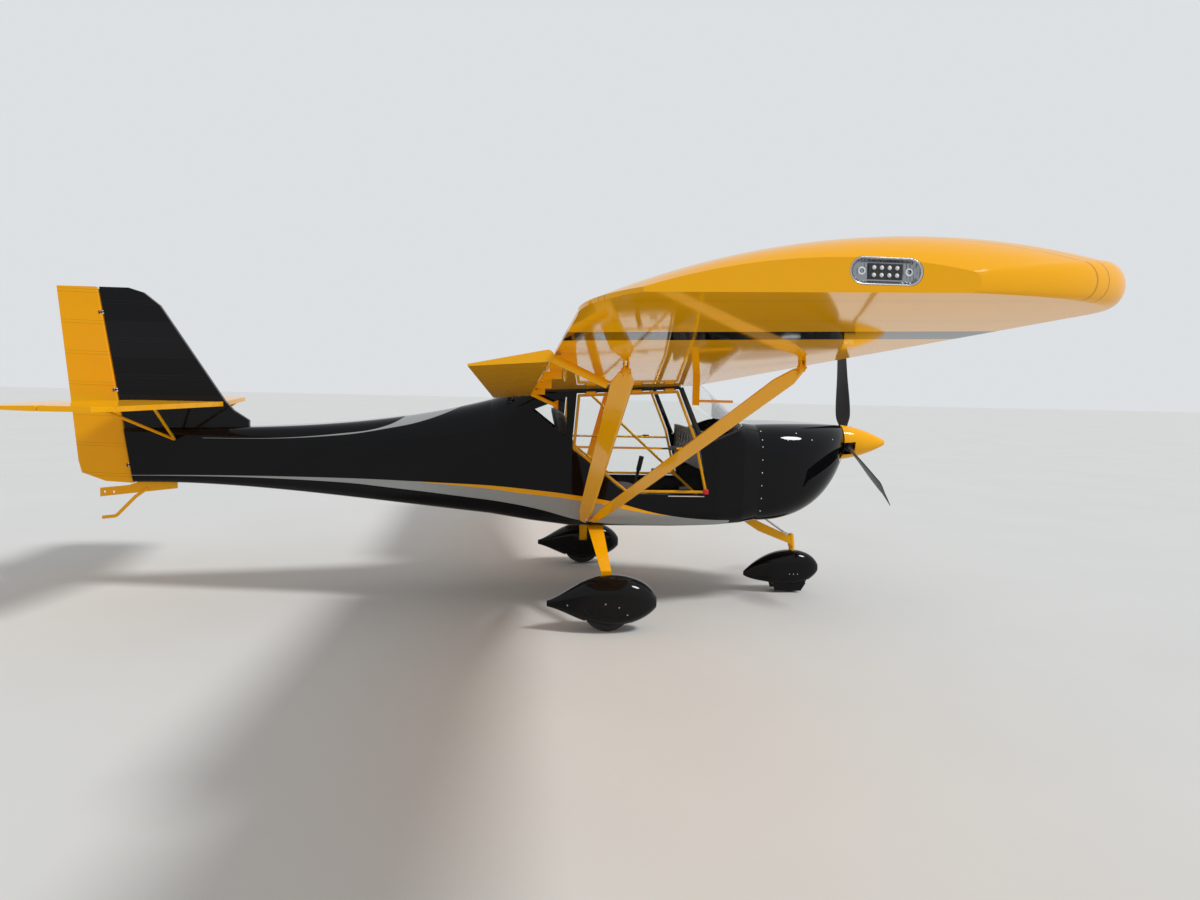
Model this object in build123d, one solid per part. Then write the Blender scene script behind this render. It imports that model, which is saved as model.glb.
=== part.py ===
from build123d import *
import os
from math import cos, radians, sin

# Frame while modelling: X forward from the main wheels' axle, Y left, Z up from the ground.
# The finished pieces are shifted along X so that the origin lies below the middle of the length.

# Places along X, ahead of the main axle where positive
spinner_tip_x = 2090
spinner_back_x = 1748
cowl_front_x = 1722
firewall_x = 1040
wing_front_x = 620
wing_rear_x = -450
cabin_rear_x = -720
tail_post_foot_x = -3085
rudder_tail_x = -3527
nose_wheel_x = 1433

# Body sections: station, low and high edge, half width, low and high corner radius
cabin_half_width = 560
cabin_top_z = 1590
cowl_sections = [
    (firewall_x, 575, 1215, 480, 130, 190),
    (1270, 590, 1221, 452, 170, 200),
    (1430, 645, 1221, 405, 180, 200),
    (1590, 755, 1217, 310, 170, 170),
    (cowl_front_x, 930, 1207, 165, 110, 110),
]
cabin_sections = [
    (cabin_rear_x, 600, 1345, 430, 120, 180),
    (-450, 570, 1446, 515, 120, 100),
    (-200, 550, 1538, cabin_half_width, 100, 50),
    (120, 549, cabin_top_z, cabin_half_width, 100, 50),
    (440, 548, 1568, cabin_half_width, 100, 50),
    (600, 552, 1490, cabin_half_width, 100, 60),
    (750, 558, 1366, cabin_half_width, 100, 90),
    (925, 566, 1226, 524, 112, 136),
    (firewall_x, 575, 1215, 480, 130, 190),
]
tail_sections = [
    (-3190, 738, 1096, 34, 20, 20),
    (-2450, 735, 1118, 130, 60, 60),
    (-1750, 690, 1162, 245, 80, 110),
    (-1190, 640, 1238, 335, 100, 150),
    (cabin_rear_x, 600, 1345, 430, 120, 180),
]
cowl_wall = 5
cabin_wall = 8
cowl_split_z = 1100
firewall_thick = 3
firewall_gap = 0.5

# Engine: the block, its gearbox and neck, and the bars that carry it
engine_middle = (1300, 0, 920)
engine_size = (380, 480, 280)
gearbox_x = 1600
gearbox_radius = 70
gearbox_length = 150
neck_middle = (1510, 0, 1020)
neck_size = (60, 150, 150)
shaft_bore_x = 1640
shaft_bore_length = 100
engine_bar_y = 200
engine_bar_heights = [780, 1020]
engine_bar_width = 30

# Openings of the cowl: middle, size and corner radius
shaft_hole_radius = 88
inlet_middle = (cowl_front_x - 60, 190, 1010)
inlet_size = (240, 120, 92)
inlet_corner = 36
outlet_middle = (firewall_x + 95, 0, 575)
outlet_size = (150, 420, 90)

# Door, window and roof outlines in side view
door_top_rear = (-172, 1396)
door_top_front = (468, 1434)
door_outline = [(150, 775), (680, 775), (598, 1120), door_top_front, door_top_rear, (-198, 1050)]
rear_window_outline = [(-238, 1122), (-238, 1378), (-452, 1290)]
roof_low_rear = (-450, 1413)
roof_low_front = (480, 1460)
windscreen_foot = (640, 1090)
windscreen_front_x = 925
windscreen_front_z = 1216
rear_shell_front_x = -210
door_gap = 6
door_tube_radius = 9
door_rail_z = 1062
door_rail_radius = 7
glass_thick = 3
glass_top_drop = 8
door_hinge_stations = [-120, 170, 380]
door_hinge_length = 60
door_hinge_pin_radius = 3
door_hinge_barrel_radius = 6.5
door_hinge_out = 8
door_hinge_up = 8
door_tab_thick = 11
door_tab_z = -2.5
door_lug_thick = 7
door_lug_width = 15
door_lug_height = 20
door_lug_up = 4
door_lug_gap = 1

# Wing: underside height over the axle and incidence, at the body and where the tip starts
wing_root_y = 500
wing_root_z = 1434
wing_root_incidence = 2.9
wing_end_y = 4300
wing_end_z = 1622
wing_end_incidence = 1.7
wing_nose_radius = 46
wing_thick = 140
wing_crown_share = 0.36
wing_edge_thick = 8
# Sections of the raked tip: how far out, front and rear edge moved in, nose radius, thickness
wing_tip_sections = [
    (140, 62, 8, 42, 124),
    (235, 215, 40, 32, 98),
    (300, 430, 82, 18, 56),
]
tip_lamp_middle = (28, 1672)
tip_lamp_size = (124, 46)
tip_lamp_inner_y = 4480

# Flaperons, hung behind and a little below the wing's rear edge
flaperon_inner_y = 600
flaperon_outer_y = 3560
flaperon_chord = 240
flaperon_edge_thick = 6
flaperon_nose_radius = 17
flaperon_drop = 20
flaperon_hinge_back = 27
flaperon_rest_droop = 8
flaperon_hinge_stations = [790, 1700, 2610, 3400]
flaperon_bracket_reach = 90
balance_arm_inset = 14
balance_arm_length = 185
balance_arm_slope = 24
balance_arm_radius = 12

# Lift struts and the forked fittings that carry them under the wing
strut_chord = 85
strut_thick = 34
strut_foot = (-92, 520, 585)
strut_top_y = 2950
strut_tops = [("front_strut", 24, 455), ("rear_strut", -24, -180)]
strut_fork_drop = 24
strut_tongue_thick = 8
strut_tongue_width = 30
strut_fork_thick = 5
strut_fork_gap = 1
strut_bolt_radius = 5
strut_bolt_length = 34

# Pitot mast under the wing: its foot, its chord, thickness and height, and the tube
pitot_mast_foot = (275, 2000, 1380)
pitot_mast_size = (32, 10, 200)
pitot_tube_up = 20
pitot_radius = 6
pitot_length = 160

# Bars of the cabin: station, height and radius of those that cross it
cabin_bars = [(460, 1496, 16), (-180, 1474, 16), (-214, 1000, 12)]
cabin_bar_radius = 9
centre_brace_top = (-150, 0, 1484)
centre_brace_foot = (880, 0, 557)

# Seats, instrument panel and control stick
seat_y = 280
seat_width = 440
cushion_middle = (120, 690)
cushion_size = (460, 90)
seat_back_middle = (-165, 1000)
seat_back_size = (70, 580)
seat_back_tilt = 14
seat_base_size = (400, 400, 90)
panel_middle = (668, 1040)
panel_size = (24, 250)
stick_points = [(240, 0, 560), (310, 0, 880)]
stick_radius = 11
grip_points = [(306, 0, 862), (328, 0, 962)]
grip_radius = 17
stick_box_middle = (250, 0, 600)
stick_box_size = (240, 90, 90)

# Tail surfaces
fin_thick = 32
rudder_nose_radius = 15
rudder_gap = 6
tail_post_rake = 8.85
rudder_foot_z = 735
fin_top_z = 2015
fin_outline_front = [(-3080, 2015), (-2990, 1988), (-2890, 1908), (-2485, 1290), (-2430, 1230), (-2330, 1165)]
fin_foot_z = 1085
rudder_outline_rear = [(-3452, 1230), (-3420, 880), (-3400, 800), (-3250, 745)]
rudder_taper_run = 500
rudder_hinge_stations = [120, 620, 1130]
stabilizer_z = 1270
stabilizer_thick = 30
stabilizer_half_span = 1210
stabilizer_front_x = -2495
stabilizer_sweep = 240
elevator_hinge_x = -3062
elevator_tail_x = -3475
elevator_nose_radius = 15
elevator_gap = 6
elevator_cut = 175
elevator_inner_y = 40
elevator_corner = (110, 120)
elevator_taper_run = 450
stabilizer_corner = (40, 90)
tail_edge_thick = 6
elevator_hinge_stations = [120, 640, 1120]
torque_tube_radius = 11
torque_tube_gap = 6
tail_brace_foot = (-2790, 60, 1030)
tail_brace_tops = [-2640, -2960]
tail_brace_top_y = 760
tail_brace_radius = 9
tow_plate_outline = [(-2800, 745), (-2800, 700), (-3290, 640), (-3290, 698), (-3110, 718), (-3040, 745)]
tow_plate_thick = 8
tow_hole_stations = [-3262, -3205]
tow_hole_z = 672
tow_hole_radius = 8
skid_path = [(-2990, 0, 700), (-3070, 0, 640), (-3195, 0, 510), (-3280, 0, 500)]
skid_bend_radius = 40
skid_radius = 11

# Hinges of the control surfaces
hinge_pin_radius = 4
hinge_running_gap = 0.05
hinge_lug_thick = 8
hinge_slot = 22

# Wheels and undercarriage
main_half_track = 964
main_tyre_radius = 150
main_tyre_width = 96
nose_tyre_radius = 130
nose_tyre_width = 80
rim_share = 0.52
axle_radius = 12
wheel_running_gap = 0.05
steering_rake = 8
steering_top = (1430, 372)
king_pin_radius = 13
main_spat_half_width = 104
nose_spat_half_width = 82
spat_wall = 4
leg_top_width = 108
leg_low_width = 62
leg_thick = 14
leg_inset = 84
leg_root = (380, 575)
leg_root_outer = (400, 592)
leg_root_back = 45
leg_bend_z = 330
leg_foot_drop = 30
hub_narrower = 20
hub_rim_thick = 10
hub_dish_depth = 18
hub_boss_radius = 26
tyre_side_inset = 8
tyre_shoulder_share = 0.3
nose_leg_outline = [(930, 600), (1010, 600), (1200, 500), (1420, 402), (1425, 345), (1180, 440)]
nose_leg_width = 44
steering_housing_radius = 24
steering_housing_length = 84
fork_collar_radius = 21
fork_blade_thick = 6
spat_skirt_outline = [(1286, 84), (1306, 15), (1498, 15), (1532, 70), (1500, 110), (1300, 110)]
spat_skirt_hollow = [(1292, 5), (1292, 130), (1516, 130), (1516, 5)]
spat_skirt_width = 124

# Sections of the wheel fairings, as those of the body
main_spat_sections = [
    (-360, 148, 182, 12, 9, 9),
    (-205, 92, 264, 64, 50, 58),
    (-50, 44, 326, 100, 80, 94),
    (85, 42, 330, main_spat_half_width, 84, 98),
    (210, 80, 292, 84, 70, 80),
    (292, 140, 212, 32, 28, 28),
]
nose_spat_sections = [
    (1090, 114, 144, 11, 8, 8),
    (1200, 80, 232, 50, 40, 46),
    (1330, 62, 288, 78, 54, 72),
    (1450, 58, 300, nose_spat_half_width, 54, 76),
    (1560, 86, 272, 66, 54, 60),
    (1628, 142, 206, 28, 24, 24),
]

# Propeller
hub_z = 1086
spinner_radius = 126
spinner_tip_round = 16
spinner_wall = 3
propeller_radius = 862
blade_start_angle = 80.2
blade_count = 3
blade_root_radius = 24
blade_sections = [
    (0.17, 84, 52, 26),
    (0.35, 122, 38, 17),
    (0.60, 124, 24, 12),
    (0.85, 98, 17, 8),
    (1.00, 52, 14, 5),
]
prop_shaft_radius = 25
prop_shaft_end_x = 1600
hub_ahead = 40
hub_radius = 62
hub_length = 64
blade_root_middle = 105
blade_root_length = 110
spinner_slot_middle = 110
spinner_slot_size = (92, 92, 90)


def save(name, shape):
    """Shift a finished piece into the final frame and write it."""
    os.makedirs("parts", exist_ok=True)
    middle = (spinner_tip_x + rudder_tail_x) / 2
    export_step(Pos(-middle, 0, 0) * shape, "parts/" + name + ".step")


def other_side(shape):
    """The same piece on the right of the aircraft."""
    return mirror(shape, about=Plane.XZ)


def cylinder_between(start, end, radius):
    """A round bar from one point to another."""
    run = Vector(*end) - Vector(*start)
    plane = Plane(origin=start, z_dir=run)
    return plane * extrude(Circle(radius), run.length)


def side_plate(points, y_low, y_high):
    """A plate whose outline is given in side view as X and Z."""
    outline = make_face(Polyline(*[(x, z) for x, z in points], close=True))
    face = Plane(origin=(0, y_low, 0), x_dir=(1, 0, 0), z_dir=(0, -1, 0)) * outline
    return extrude(face, y_high - y_low, dir=(0, 1, 0))


def ring(station, low, high, half, low_round, high_round, inset=0):
    """One rounded cross-section of the body."""
    left, right = -half + inset, half - inset
    floor, roof = low + inset, high - inset
    face = make_face(Polyline((left, floor), (right, floor), (right, roof), (left, roof), close=True))
    face = fillet(face.vertices().sort_by(Axis.Y)[:2], low_round - inset)
    face = fillet(face.vertices().sort_by(Axis.Y)[-2:], high_round - inset)
    return Plane(origin=(station, 0, 0), x_dir=(0, 1, 0), z_dir=(1, 0, 0)) * face


def body_form(sections, inset=0, straight=False):
    """The solid through a table of sections."""
    return loft([ring(*row, inset=inset).face() for row in sections], ruled=straight)


def hinge_plane(start, axis, forward):
    """A frame on a hinge line: Z along the line, X towards the piece that carries it."""
    return Plane(origin=start, x_dir=forward, z_dir=axis)


def hinge_slots(plane, stations, nose_radius):
    """The gaps cut in a surface's nose round the lugs that carry it."""
    slot = Cylinder(nose_radius + 5, hinge_slot)
    return [plane * (Pos(0, 0, station) * slot) for station in stations]


def hinge_pins(plane, stations):
    """The pins that cross those gaps."""
    pin = Cylinder(hinge_pin_radius, hinge_slot + 16)
    return [plane * (Pos(0, 0, station) * pin) for station in stations]


def hinge_lugs(plane, stations, nose_radius, reach):
    """The lugs that reach back to the hinge line from the piece that carries it."""
    width = 2 * nose_radius - 6
    disc = Cylinder(width / 2, hinge_lug_thick)
    bar = Pos(reach / 2, 0, 0) * Box(reach, width, hinge_lug_thick)
    hole = Cylinder(hinge_pin_radius + hinge_running_gap, hinge_lug_thick + 2)
    lug = disc + bar - hole
    return [plane * (Pos(0, 0, station) * lug) for station in stations]


def make_cowl():
    """The engine cowl in an upper and a lower shell, open at the air inlets and the outlet."""
    shell = body_form(cowl_sections) - body_form(cowl_sections, inset=cowl_wall)
    length = cowl_front_x - firewall_x
    top = Pos(firewall_x + length / 2, 0, cowl_split_z + 300) * Box(length + 40, 1200, 600)
    shaft_hole = Pos(cowl_front_x, 0, hub_z) * Rot(0, 90, 0) * Cylinder(shaft_hole_radius, 300)
    inlet = Pos(*inlet_middle) * fillet(Box(*inlet_size).edges().filter_by(Axis.X), inlet_corner)
    outlet = Pos(*outlet_middle) * Box(*outlet_size)
    shell = shell - shaft_hole - inlet - other_side(inlet) - outlet
    save("upper_cowl", shell & top)
    save("lower_cowl", shell - top)


def make_engine():
    """One plain block for the engine, with its gearbox, and the bulkhead behind it."""
    engine = Pos(*engine_middle) * Box(*engine_size) + Pos(*neck_middle) * Box(*neck_size)
    engine = engine + Pos(gearbox_x, 0, hub_z) * Rot(0, 90, 0) * Cylinder(gearbox_radius, gearbox_length)
    engine_rear_x = engine_middle[0] - engine_size[0] / 2
    bar = Box(engine_rear_x - firewall_x, engine_bar_width, engine_bar_width)
    for z in engine_bar_heights:
        for y in (engine_bar_y, -engine_bar_y):
            engine = engine + Pos((firewall_x + engine_rear_x) / 2, y, z) * bar
    bore = Cylinder(prop_shaft_radius + wheel_running_gap, shaft_bore_length)
    save("engine_block", engine - Pos(shaft_bore_x, 0, hub_z) * Rot(0, 90, 0) * bore)
    wall = ring(firewall_x - firewall_thick, *cabin_sections[-1][1:], inset=cabin_wall + firewall_gap)
    save("firewall", extrude(wall, firewall_thick))


def cabin_shell():
    """The whole skin round the cabin, before its openings."""
    outer = body_form(cabin_sections, straight=True)
    inner = body_form(cabin_sections, inset=cabin_wall, straight=True)
    return outer - inner


def grown(points, gap):
    """A side-view outline moved outward by a gap."""
    face = make_face(Polyline(*points, close=True))
    return offset(face, gap, kind=Kind.INTERSECTION)


def side_prism(face, y_low, y_high):
    """A prism across the aircraft from a face drawn in side view."""
    placed = Plane(origin=(0, y_low, 0), x_dir=(1, 0, 0), z_dir=(0, -1, 0)) * face
    return extrude(placed, y_high - y_low, dir=(0, 1, 0))


def make_cabin():
    """Floor tub, scuttle, windscreen, roof glass, rear shell and rear windows from one skin."""
    skin = cabin_shell()
    above = cabin_top_z + 50
    beyond = cabin_half_width + 140
    screen_foot = [windscreen_foot, (windscreen_front_x, windscreen_front_z), (windscreen_front_x, above)]
    screen_space = side_plate([(roof_low_front[0], above), roof_low_front] + screen_foot, -beyond, beyond)
    roof_outline = [roof_low_rear, (roof_low_rear[0], above), (roof_low_front[0], above), roof_low_front]
    roof_space = side_plate(roof_outline, -beyond, beyond)
    windscreen = skin & screen_space
    roof = skin & roof_space
    rest = skin - screen_space - roof_space
    door_space = side_prism(grown(door_outline, door_gap), -beyond, beyond)
    window_space = side_plate(rear_window_outline, -beyond, beyond)
    windows = rest & window_space
    rest = rest - door_space - window_space
    front_x = firewall_x + 10
    front = side_plate([(windscreen_foot[0], cowl_split_z), (windscreen_foot[0], above),
                        (front_x, above), (front_x, cowl_split_z)], -beyond, beyond)
    rear_x = cabin_rear_x - 10
    rear = side_plate([(rear_x, 0), (rear_x, above), (rear_shell_front_x, above), (rear_shell_front_x, 0)],
                      -beyond, beyond)
    save("windscreen", windscreen)
    save("roof_glass", roof)
    save("rear_windows", windows)
    save("scuttle_panel", rest & front)
    save("rear_cabin_shell", rest & rear)
    save("cabin_tub", rest - front - rear)


def tail_cutter():
    """Everything behind the face that the rudder's nose clears."""
    clear = rudder_nose_radius + rudder_gap
    return tail_post() * (Pos(-500 + clear, 0, 700) * Box(1000, 400, 2400))


def rudder_lugs():
    """The three lugs on the rudder's hinge line, lowest first."""
    reach = rudder_nose_radius + rudder_gap + 1
    return hinge_lugs(tail_post(), rudder_hinge_stations, rudder_nose_radius, reach)


def make_tail_body():
    """The covered rear body, ending square to the rudder's hinge line, with the lowest lug."""
    save("rear_fuselage", body_form(tail_sections) - tail_cutter() + rudder_lugs()[0])


def tail_post():
    """The rudder's hinge line: Z up along it, X forward."""
    tilt = radians(tail_post_rake)
    axis = (-sin(tilt), 0, cos(tilt))
    forward = (cos(tilt), 0, sin(tilt))
    return hinge_plane((tail_post_foot_x, 0, rudder_foot_z), axis, forward)


def tail_post_x(z):
    """Where the hinge line is at a height."""
    tilt = radians(tail_post_rake)
    return tail_post_foot_x - (z - rudder_foot_z) * sin(tilt) / cos(tilt)


def taper_section(nose_radius, run):
    """A surface's section, from its full nose to its thin rear edge."""
    edge = tail_edge_thick / 2
    return make_face(Polyline((0, -nose_radius), (0, nose_radius), (-run, edge), (-run, -edge), close=True))


def make_fin_and_rudder():
    """The fin with its lugs, and the rudder that turns on them."""
    post = tail_post()
    outline = [(tail_post_x(fin_top_z), fin_top_z)] + fin_outline_front
    outline += [(fin_outline_front[-1][0], fin_foot_z), (tail_post_x(fin_foot_z), fin_foot_z)]
    fin = side_plate(outline, -fin_thick / 2, fin_thick / 2)
    fin = fin - tail_cutter() - body_form(tail_sections)
    tube_hole = Rot(90, 0, 0) * Cylinder(torque_tube_radius + torque_tube_gap, 3 * fin_thick)
    fin = fin - Pos(elevator_hinge_x, 0, stabilizer_z) * tube_hole
    for lug in rudder_lugs()[1:]:
        fin = fin + lug
    save("fin", fin)
    height = fin_top_z - rudder_foot_z
    nose = post * (Pos(0, 0, height / 2) * Cylinder(rudder_nose_radius, height))
    outline = [(tail_post_x(rudder_foot_z), rudder_foot_z), (tail_post_x(fin_top_z), fin_top_z)]
    outline += [(rudder_tail_x, fin_top_z)] + rudder_outline_rear
    blade = side_plate(outline, -rudder_nose_radius, rudder_nose_radius)
    taper = post * (Pos(0, 0, -200) * extrude(taper_section(rudder_nose_radius, rudder_taper_run), height + 600))
    rudder = nose + (blade & taper)
    for slot in hinge_slots(post, rudder_hinge_stations, rudder_nose_radius):
        rudder = rudder - slot
    for pin in hinge_pins(post, rudder_hinge_stations):
        rudder = rudder + pin
    save("rudder", rudder)


def elevator_line():
    """The elevator's hinge line: Z to the left along it, X forward."""
    return hinge_plane((elevator_hinge_x, 0, stabilizer_z), (0, 1, 0), (1, 0, 0))


def plan_plate(points, z_low, z_high):
    """A plate whose outline is given from above as X and Y."""
    return Pos(0, 0, z_low) * extrude(make_face(Polyline(*points, close=True)), z_high - z_low)


def make_stabilizer_and_elevator():
    """Both halves of the tailplane, its braces, and the elevator on its torque tube."""
    line = elevator_line()
    half = stabilizer_thick / 2
    clear = elevator_nose_radius + elevator_gap
    rear_x = elevator_hinge_x + clear
    tip_y = stabilizer_half_span
    outline = [
        (rear_x, fin_thick / 2),
        (stabilizer_front_x, fin_thick / 2),
        (stabilizer_front_x - stabilizer_sweep + stabilizer_corner[0], tip_y - stabilizer_corner[1]),
        (stabilizer_front_x - stabilizer_sweep - stabilizer_corner[0], tip_y),
        (rear_x, tip_y),
    ]
    plate = plan_plate(outline, stabilizer_z - half, stabilizer_z + half)
    for lug in hinge_lugs(line, elevator_hinge_stations, elevator_nose_radius, clear + 1):
        plate = plate + lug
    save("stabilizer", plate + other_side(plate))
    span = tip_y - elevator_inner_y
    nose = line * (Pos(0, 0, elevator_inner_y + span / 2) * Cylinder(elevator_nose_radius, span))
    outline = [
        (elevator_hinge_x, elevator_inner_y),
        (elevator_hinge_x, tip_y),
        (elevator_tail_x + elevator_corner[0], tip_y),
        (elevator_tail_x, tip_y - elevator_corner[1]),
        (elevator_tail_x, elevator_inner_y + elevator_cut),
    ]
    blade = plan_plate(outline, stabilizer_z - half, stabilizer_z + half)
    taper = line * extrude(taper_section(elevator_nose_radius, elevator_taper_run), tip_y + 20)
    elevator = nose + (blade & taper)
    for slot in hinge_slots(line, elevator_hinge_stations, elevator_nose_radius):
        elevator = elevator - slot
    for pin in hinge_pins(line, elevator_hinge_stations):
        elevator = elevator + pin
    save("elevator_left", elevator)
    save("elevator_right", other_side(elevator))
    save("elevator_torque_tube", line * Cylinder(torque_tube_radius, 2 * elevator_inner_y))


def make_tail_braces(stabilizer_low_z):
    """The four braces from the rear body up to the tailplane."""
    braces = []
    above = Pos(tail_brace_foot[0], 0, stabilizer_low_z + stabilizer_half_span) * Box(
        2 * stabilizer_half_span, 2 * stabilizer_half_span, 2 * stabilizer_half_span)
    for station in tail_brace_tops:
        top = (station, tail_brace_top_y, stabilizer_low_z + tail_brace_radius + 1)
        braces.append(cylinder_between(tail_brace_foot, top, tail_brace_radius) - above - body_form(tail_sections))
    pair = braces[0] + braces[1]
    save("tail_braces", pair + other_side(pair))


def wing_rib(y, low_z, incidence, front_x, rear_x, nose_radius, thick):
    """One upright rib outline: round nose, arched top, flat underside and a thin rear edge."""
    nose_x = front_x - nose_radius
    crown_x = front_x - wing_crown_share * (front_x - rear_x)
    face = make_face([
        ThreePointArc((nose_x, 0), (front_x, nose_radius), (nose_x, 2 * nose_radius)),
        ThreePointArc((nose_x, 2 * nose_radius), (crown_x, thick), (rear_x, wing_edge_thick)),
        Line((rear_x, wing_edge_thick), (rear_x, 0)),
        Line((rear_x, 0), (nose_x, 0)),
    ])
    tilt = radians(incidence)
    return Plane(origin=(0, y, low_z), x_dir=(cos(tilt), 0, sin(tilt)), z_dir=(0, -1, 0)) * face


def wing_rise():
    """How much the underside rises for each unit of span."""
    return (wing_end_z - wing_root_z) / (wing_end_y - wing_root_y)


def wing_point(y, x):
    """A point of the left wing's underside, at a place on the span and along the rib."""
    ends = []
    for end_y, low_z, incidence in [(wing_root_y, wing_root_z, wing_root_incidence),
                                    (wing_end_y, wing_end_z, wing_end_incidence)]:
        tilt = radians(incidence)
        ends.append(Vector(x * cos(tilt), end_y, low_z + x * sin(tilt)))
    share = (y - wing_root_y) / (wing_end_y - wing_root_y)
    return ends[0] + (ends[1] - ends[0]) * share


def wing_block():
    """The left wing from the body to where its tip starts."""
    size = (wing_front_x, wing_rear_x, wing_nose_radius, wing_thick)
    root = wing_rib(wing_root_y, wing_root_z, wing_root_incidence, *size)
    end = wing_rib(wing_end_y, wing_end_z, wing_end_incidence, *size)
    return loft([root.face(), end.face()], ruled=True)


def wing_tip():
    """The left wing's tip, raked back and drawn in to a thin rounded end."""
    rows = [(0, 0, 0, wing_nose_radius, wing_thick)] + wing_tip_sections
    faces = []
    for out, front_in, rear_in, nose_radius, thick in rows:
        low_z = wing_end_z + out * wing_rise()
        rib = wing_rib(wing_end_y + out, low_z, wing_end_incidence, wing_front_x - front_in,
                       wing_rear_x + rear_in, nose_radius, thick)
        faces.append(rib.face())
    return loft(faces)


def make_wings():
    """Each wing with its raked tip, and the lamp let into the tip's end."""
    wing = wing_block() + wing_tip() - body_form(cabin_sections, straight=True)
    x, z = tip_lamp_middle
    slot = Plane(origin=(x, tip_lamp_inner_y, z), x_dir=(1, 0, 0), z_dir=(0, 1, 0)) * SlotOverall(*tip_lamp_size)
    lamp_space = extrude(slot, wing_end_y + 500 - tip_lamp_inner_y)
    lamp = wing & lamp_space
    save("wing_left", wing - lamp_space)
    save("wing_right", other_side(wing - lamp_space))
    save("tip_lamps", lamp + other_side(lamp))


def flaperon_line():
    """The flaperon's hinge line on the left wing: Z outward along it, X forward."""
    offset_from_edge = Vector(-flaperon_hinge_back, 0, -flaperon_drop)
    start = wing_point(0, wing_rear_x) + offset_from_edge
    end = wing_point(flaperon_outer_y, wing_rear_x) + offset_from_edge
    return Plane(origin=start, x_dir=(1, 0, 0), z_dir=end - start)


def make_flaperons():
    """Each flaperon with its balance arms and pins, and the brackets that carry it."""
    line = flaperon_line()
    span = flaperon_outer_y - flaperon_inner_y
    radius = flaperon_nose_radius
    tail = radius - flaperon_chord
    half_edge = flaperon_edge_thick / 2
    wedge = make_face(Polyline((0, -radius), (0, radius), (tail, half_edge), (tail, -half_edge), close=True))
    section = Rot(0, 0, -flaperon_rest_droop) * (Circle(radius) + wedge)
    surface = line * (Pos(0, 0, flaperon_inner_y) * extrude(section, span))
    for slot in hinge_slots(line, flaperon_hinge_stations, radius):
        surface = surface - slot
    for pin in hinge_pins(line, flaperon_hinge_stations):
        surface = surface + pin
    slope = radians(balance_arm_slope)
    for y in [flaperon_inner_y + balance_arm_inset, flaperon_outer_y - balance_arm_inset]:
        arm = Plane(origin=(0, 0, y), z_dir=(cos(slope), sin(slope), 0)) * extrude(
            Circle(balance_arm_radius), balance_arm_length)
        surface = surface + line * arm
    save("flaperon_left", surface)
    save("flaperon_right", other_side(surface))
    brackets = hinge_lugs(line, flaperon_hinge_stations, radius, flaperon_bracket_reach)
    foot_length = flaperon_bracket_reach - flaperon_hinge_back - radius
    high = flaperon_drop + wing_edge_thick
    low = radius - 3
    foot = Pos(flaperon_bracket_reach - foot_length / 2, (low - high) / 2, 0) * Box(
        foot_length, high + low, hinge_lug_thick)
    block = wing_block()
    half = [bracket + line * (Pos(0, 0, station) * foot) - block
            for bracket, station in zip(brackets, flaperon_hinge_stations)]
    save("flaperon_brackets", Compound(half + [other_side(piece) for piece in half]))


def strut_section(y, x, z, chord, thick):
    """A streamlined outline in the plane of one span station."""
    nose = thick / 2
    front = chord / 2 - nose
    arc = ThreePointArc((front, -nose), (front + nose, 0), (front, nose))
    face = make_face([arc, Line((front, nose), (-chord / 2, 3)),
                      Line((-chord / 2, 3), (-chord / 2, -3)), Line((-chord / 2, -3), (front, -nose))])
    return Plane(origin=(x, y, z), x_dir=(1, 0, 0), z_dir=(0, -1, 0)) * face


def strut_bolt(top_x):
    """The middle of the bolt that holds a strut's upper end."""
    return wing_point(strut_top_y, top_x) - Vector(0, 0, strut_fork_drop)


def strut_form(foot_shift, top_x):
    """One lift strut, slim at both ends, with the bored tongue at its upper end."""
    foot = Vector(strut_foot[0] + foot_shift, strut_foot[1] - 30, strut_foot[2] - 12)
    bolt = strut_bolt(top_x)
    along = (bolt - foot).normalized()
    half_width = strut_tongue_width / 2
    end = bolt - along * (half_width + 6)
    rows = [(0, 0.45, 0.7), (0.14, 1, 1), (0.96, 1, 1), (1, 0.5, 0.6)]
    faces = []
    for share, chord_share, thick_share in rows:
        place = foot + (end - foot) * share
        faces.append(strut_section(place.Y, place.X, place.Z, strut_chord * chord_share,
                                   strut_thick * thick_share).face())
    bolt_frame = Plane(origin=bolt, x_dir=(0, along.Y, along.Z), z_dir=(1, 0, 0))
    reach = 3 * half_width
    tongue = Cylinder(half_width, strut_tongue_thick)
    tongue = tongue + Pos(-reach / 2, 0, 0) * Box(reach, strut_tongue_width, strut_tongue_thick)
    bore = Cylinder(strut_bolt_radius + hinge_running_gap, 2 * strut_tongue_thick)
    return loft(faces, ruled=True) + bolt_frame * (tongue - bore)


def strut_fork(top_x):
    """The fork under the wing with the bolt that holds the strut's tongue."""
    bolt = strut_bolt(top_x)
    half_width = strut_tongue_width / 2
    height = strut_fork_drop + half_width
    plate = Rot(0, 90, 0) * Cylinder(half_width, strut_fork_thick)
    plate = plate + Pos(0, 0, height / 2) * Box(strut_fork_thick, strut_tongue_width, height)
    apart = strut_tongue_thick / 2 + strut_fork_gap + strut_fork_thick / 2
    fork = Pos(apart, 0, 0) * plate + Pos(-apart, 0, 0) * plate
    fork = fork + Rot(0, 90, 0) * Cylinder(strut_bolt_radius, strut_bolt_length)
    return Pos(*bolt) * fork


def make_struts():
    """The two lift struts on each side, seated on the body and pinned under the wing."""
    block = wing_block()
    body = body_form(cabin_sections, straight=True)
    forks = []
    for name, shift, top_x in strut_tops:
        strut = strut_form(shift, top_x) - body
        save(name + "_left", strut)
        save(name + "_right", other_side(strut))
        forks.append(strut_fork(top_x) - block)
    save("strut_fittings", Compound(forks + [other_side(fork) for fork in forks]))


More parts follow.
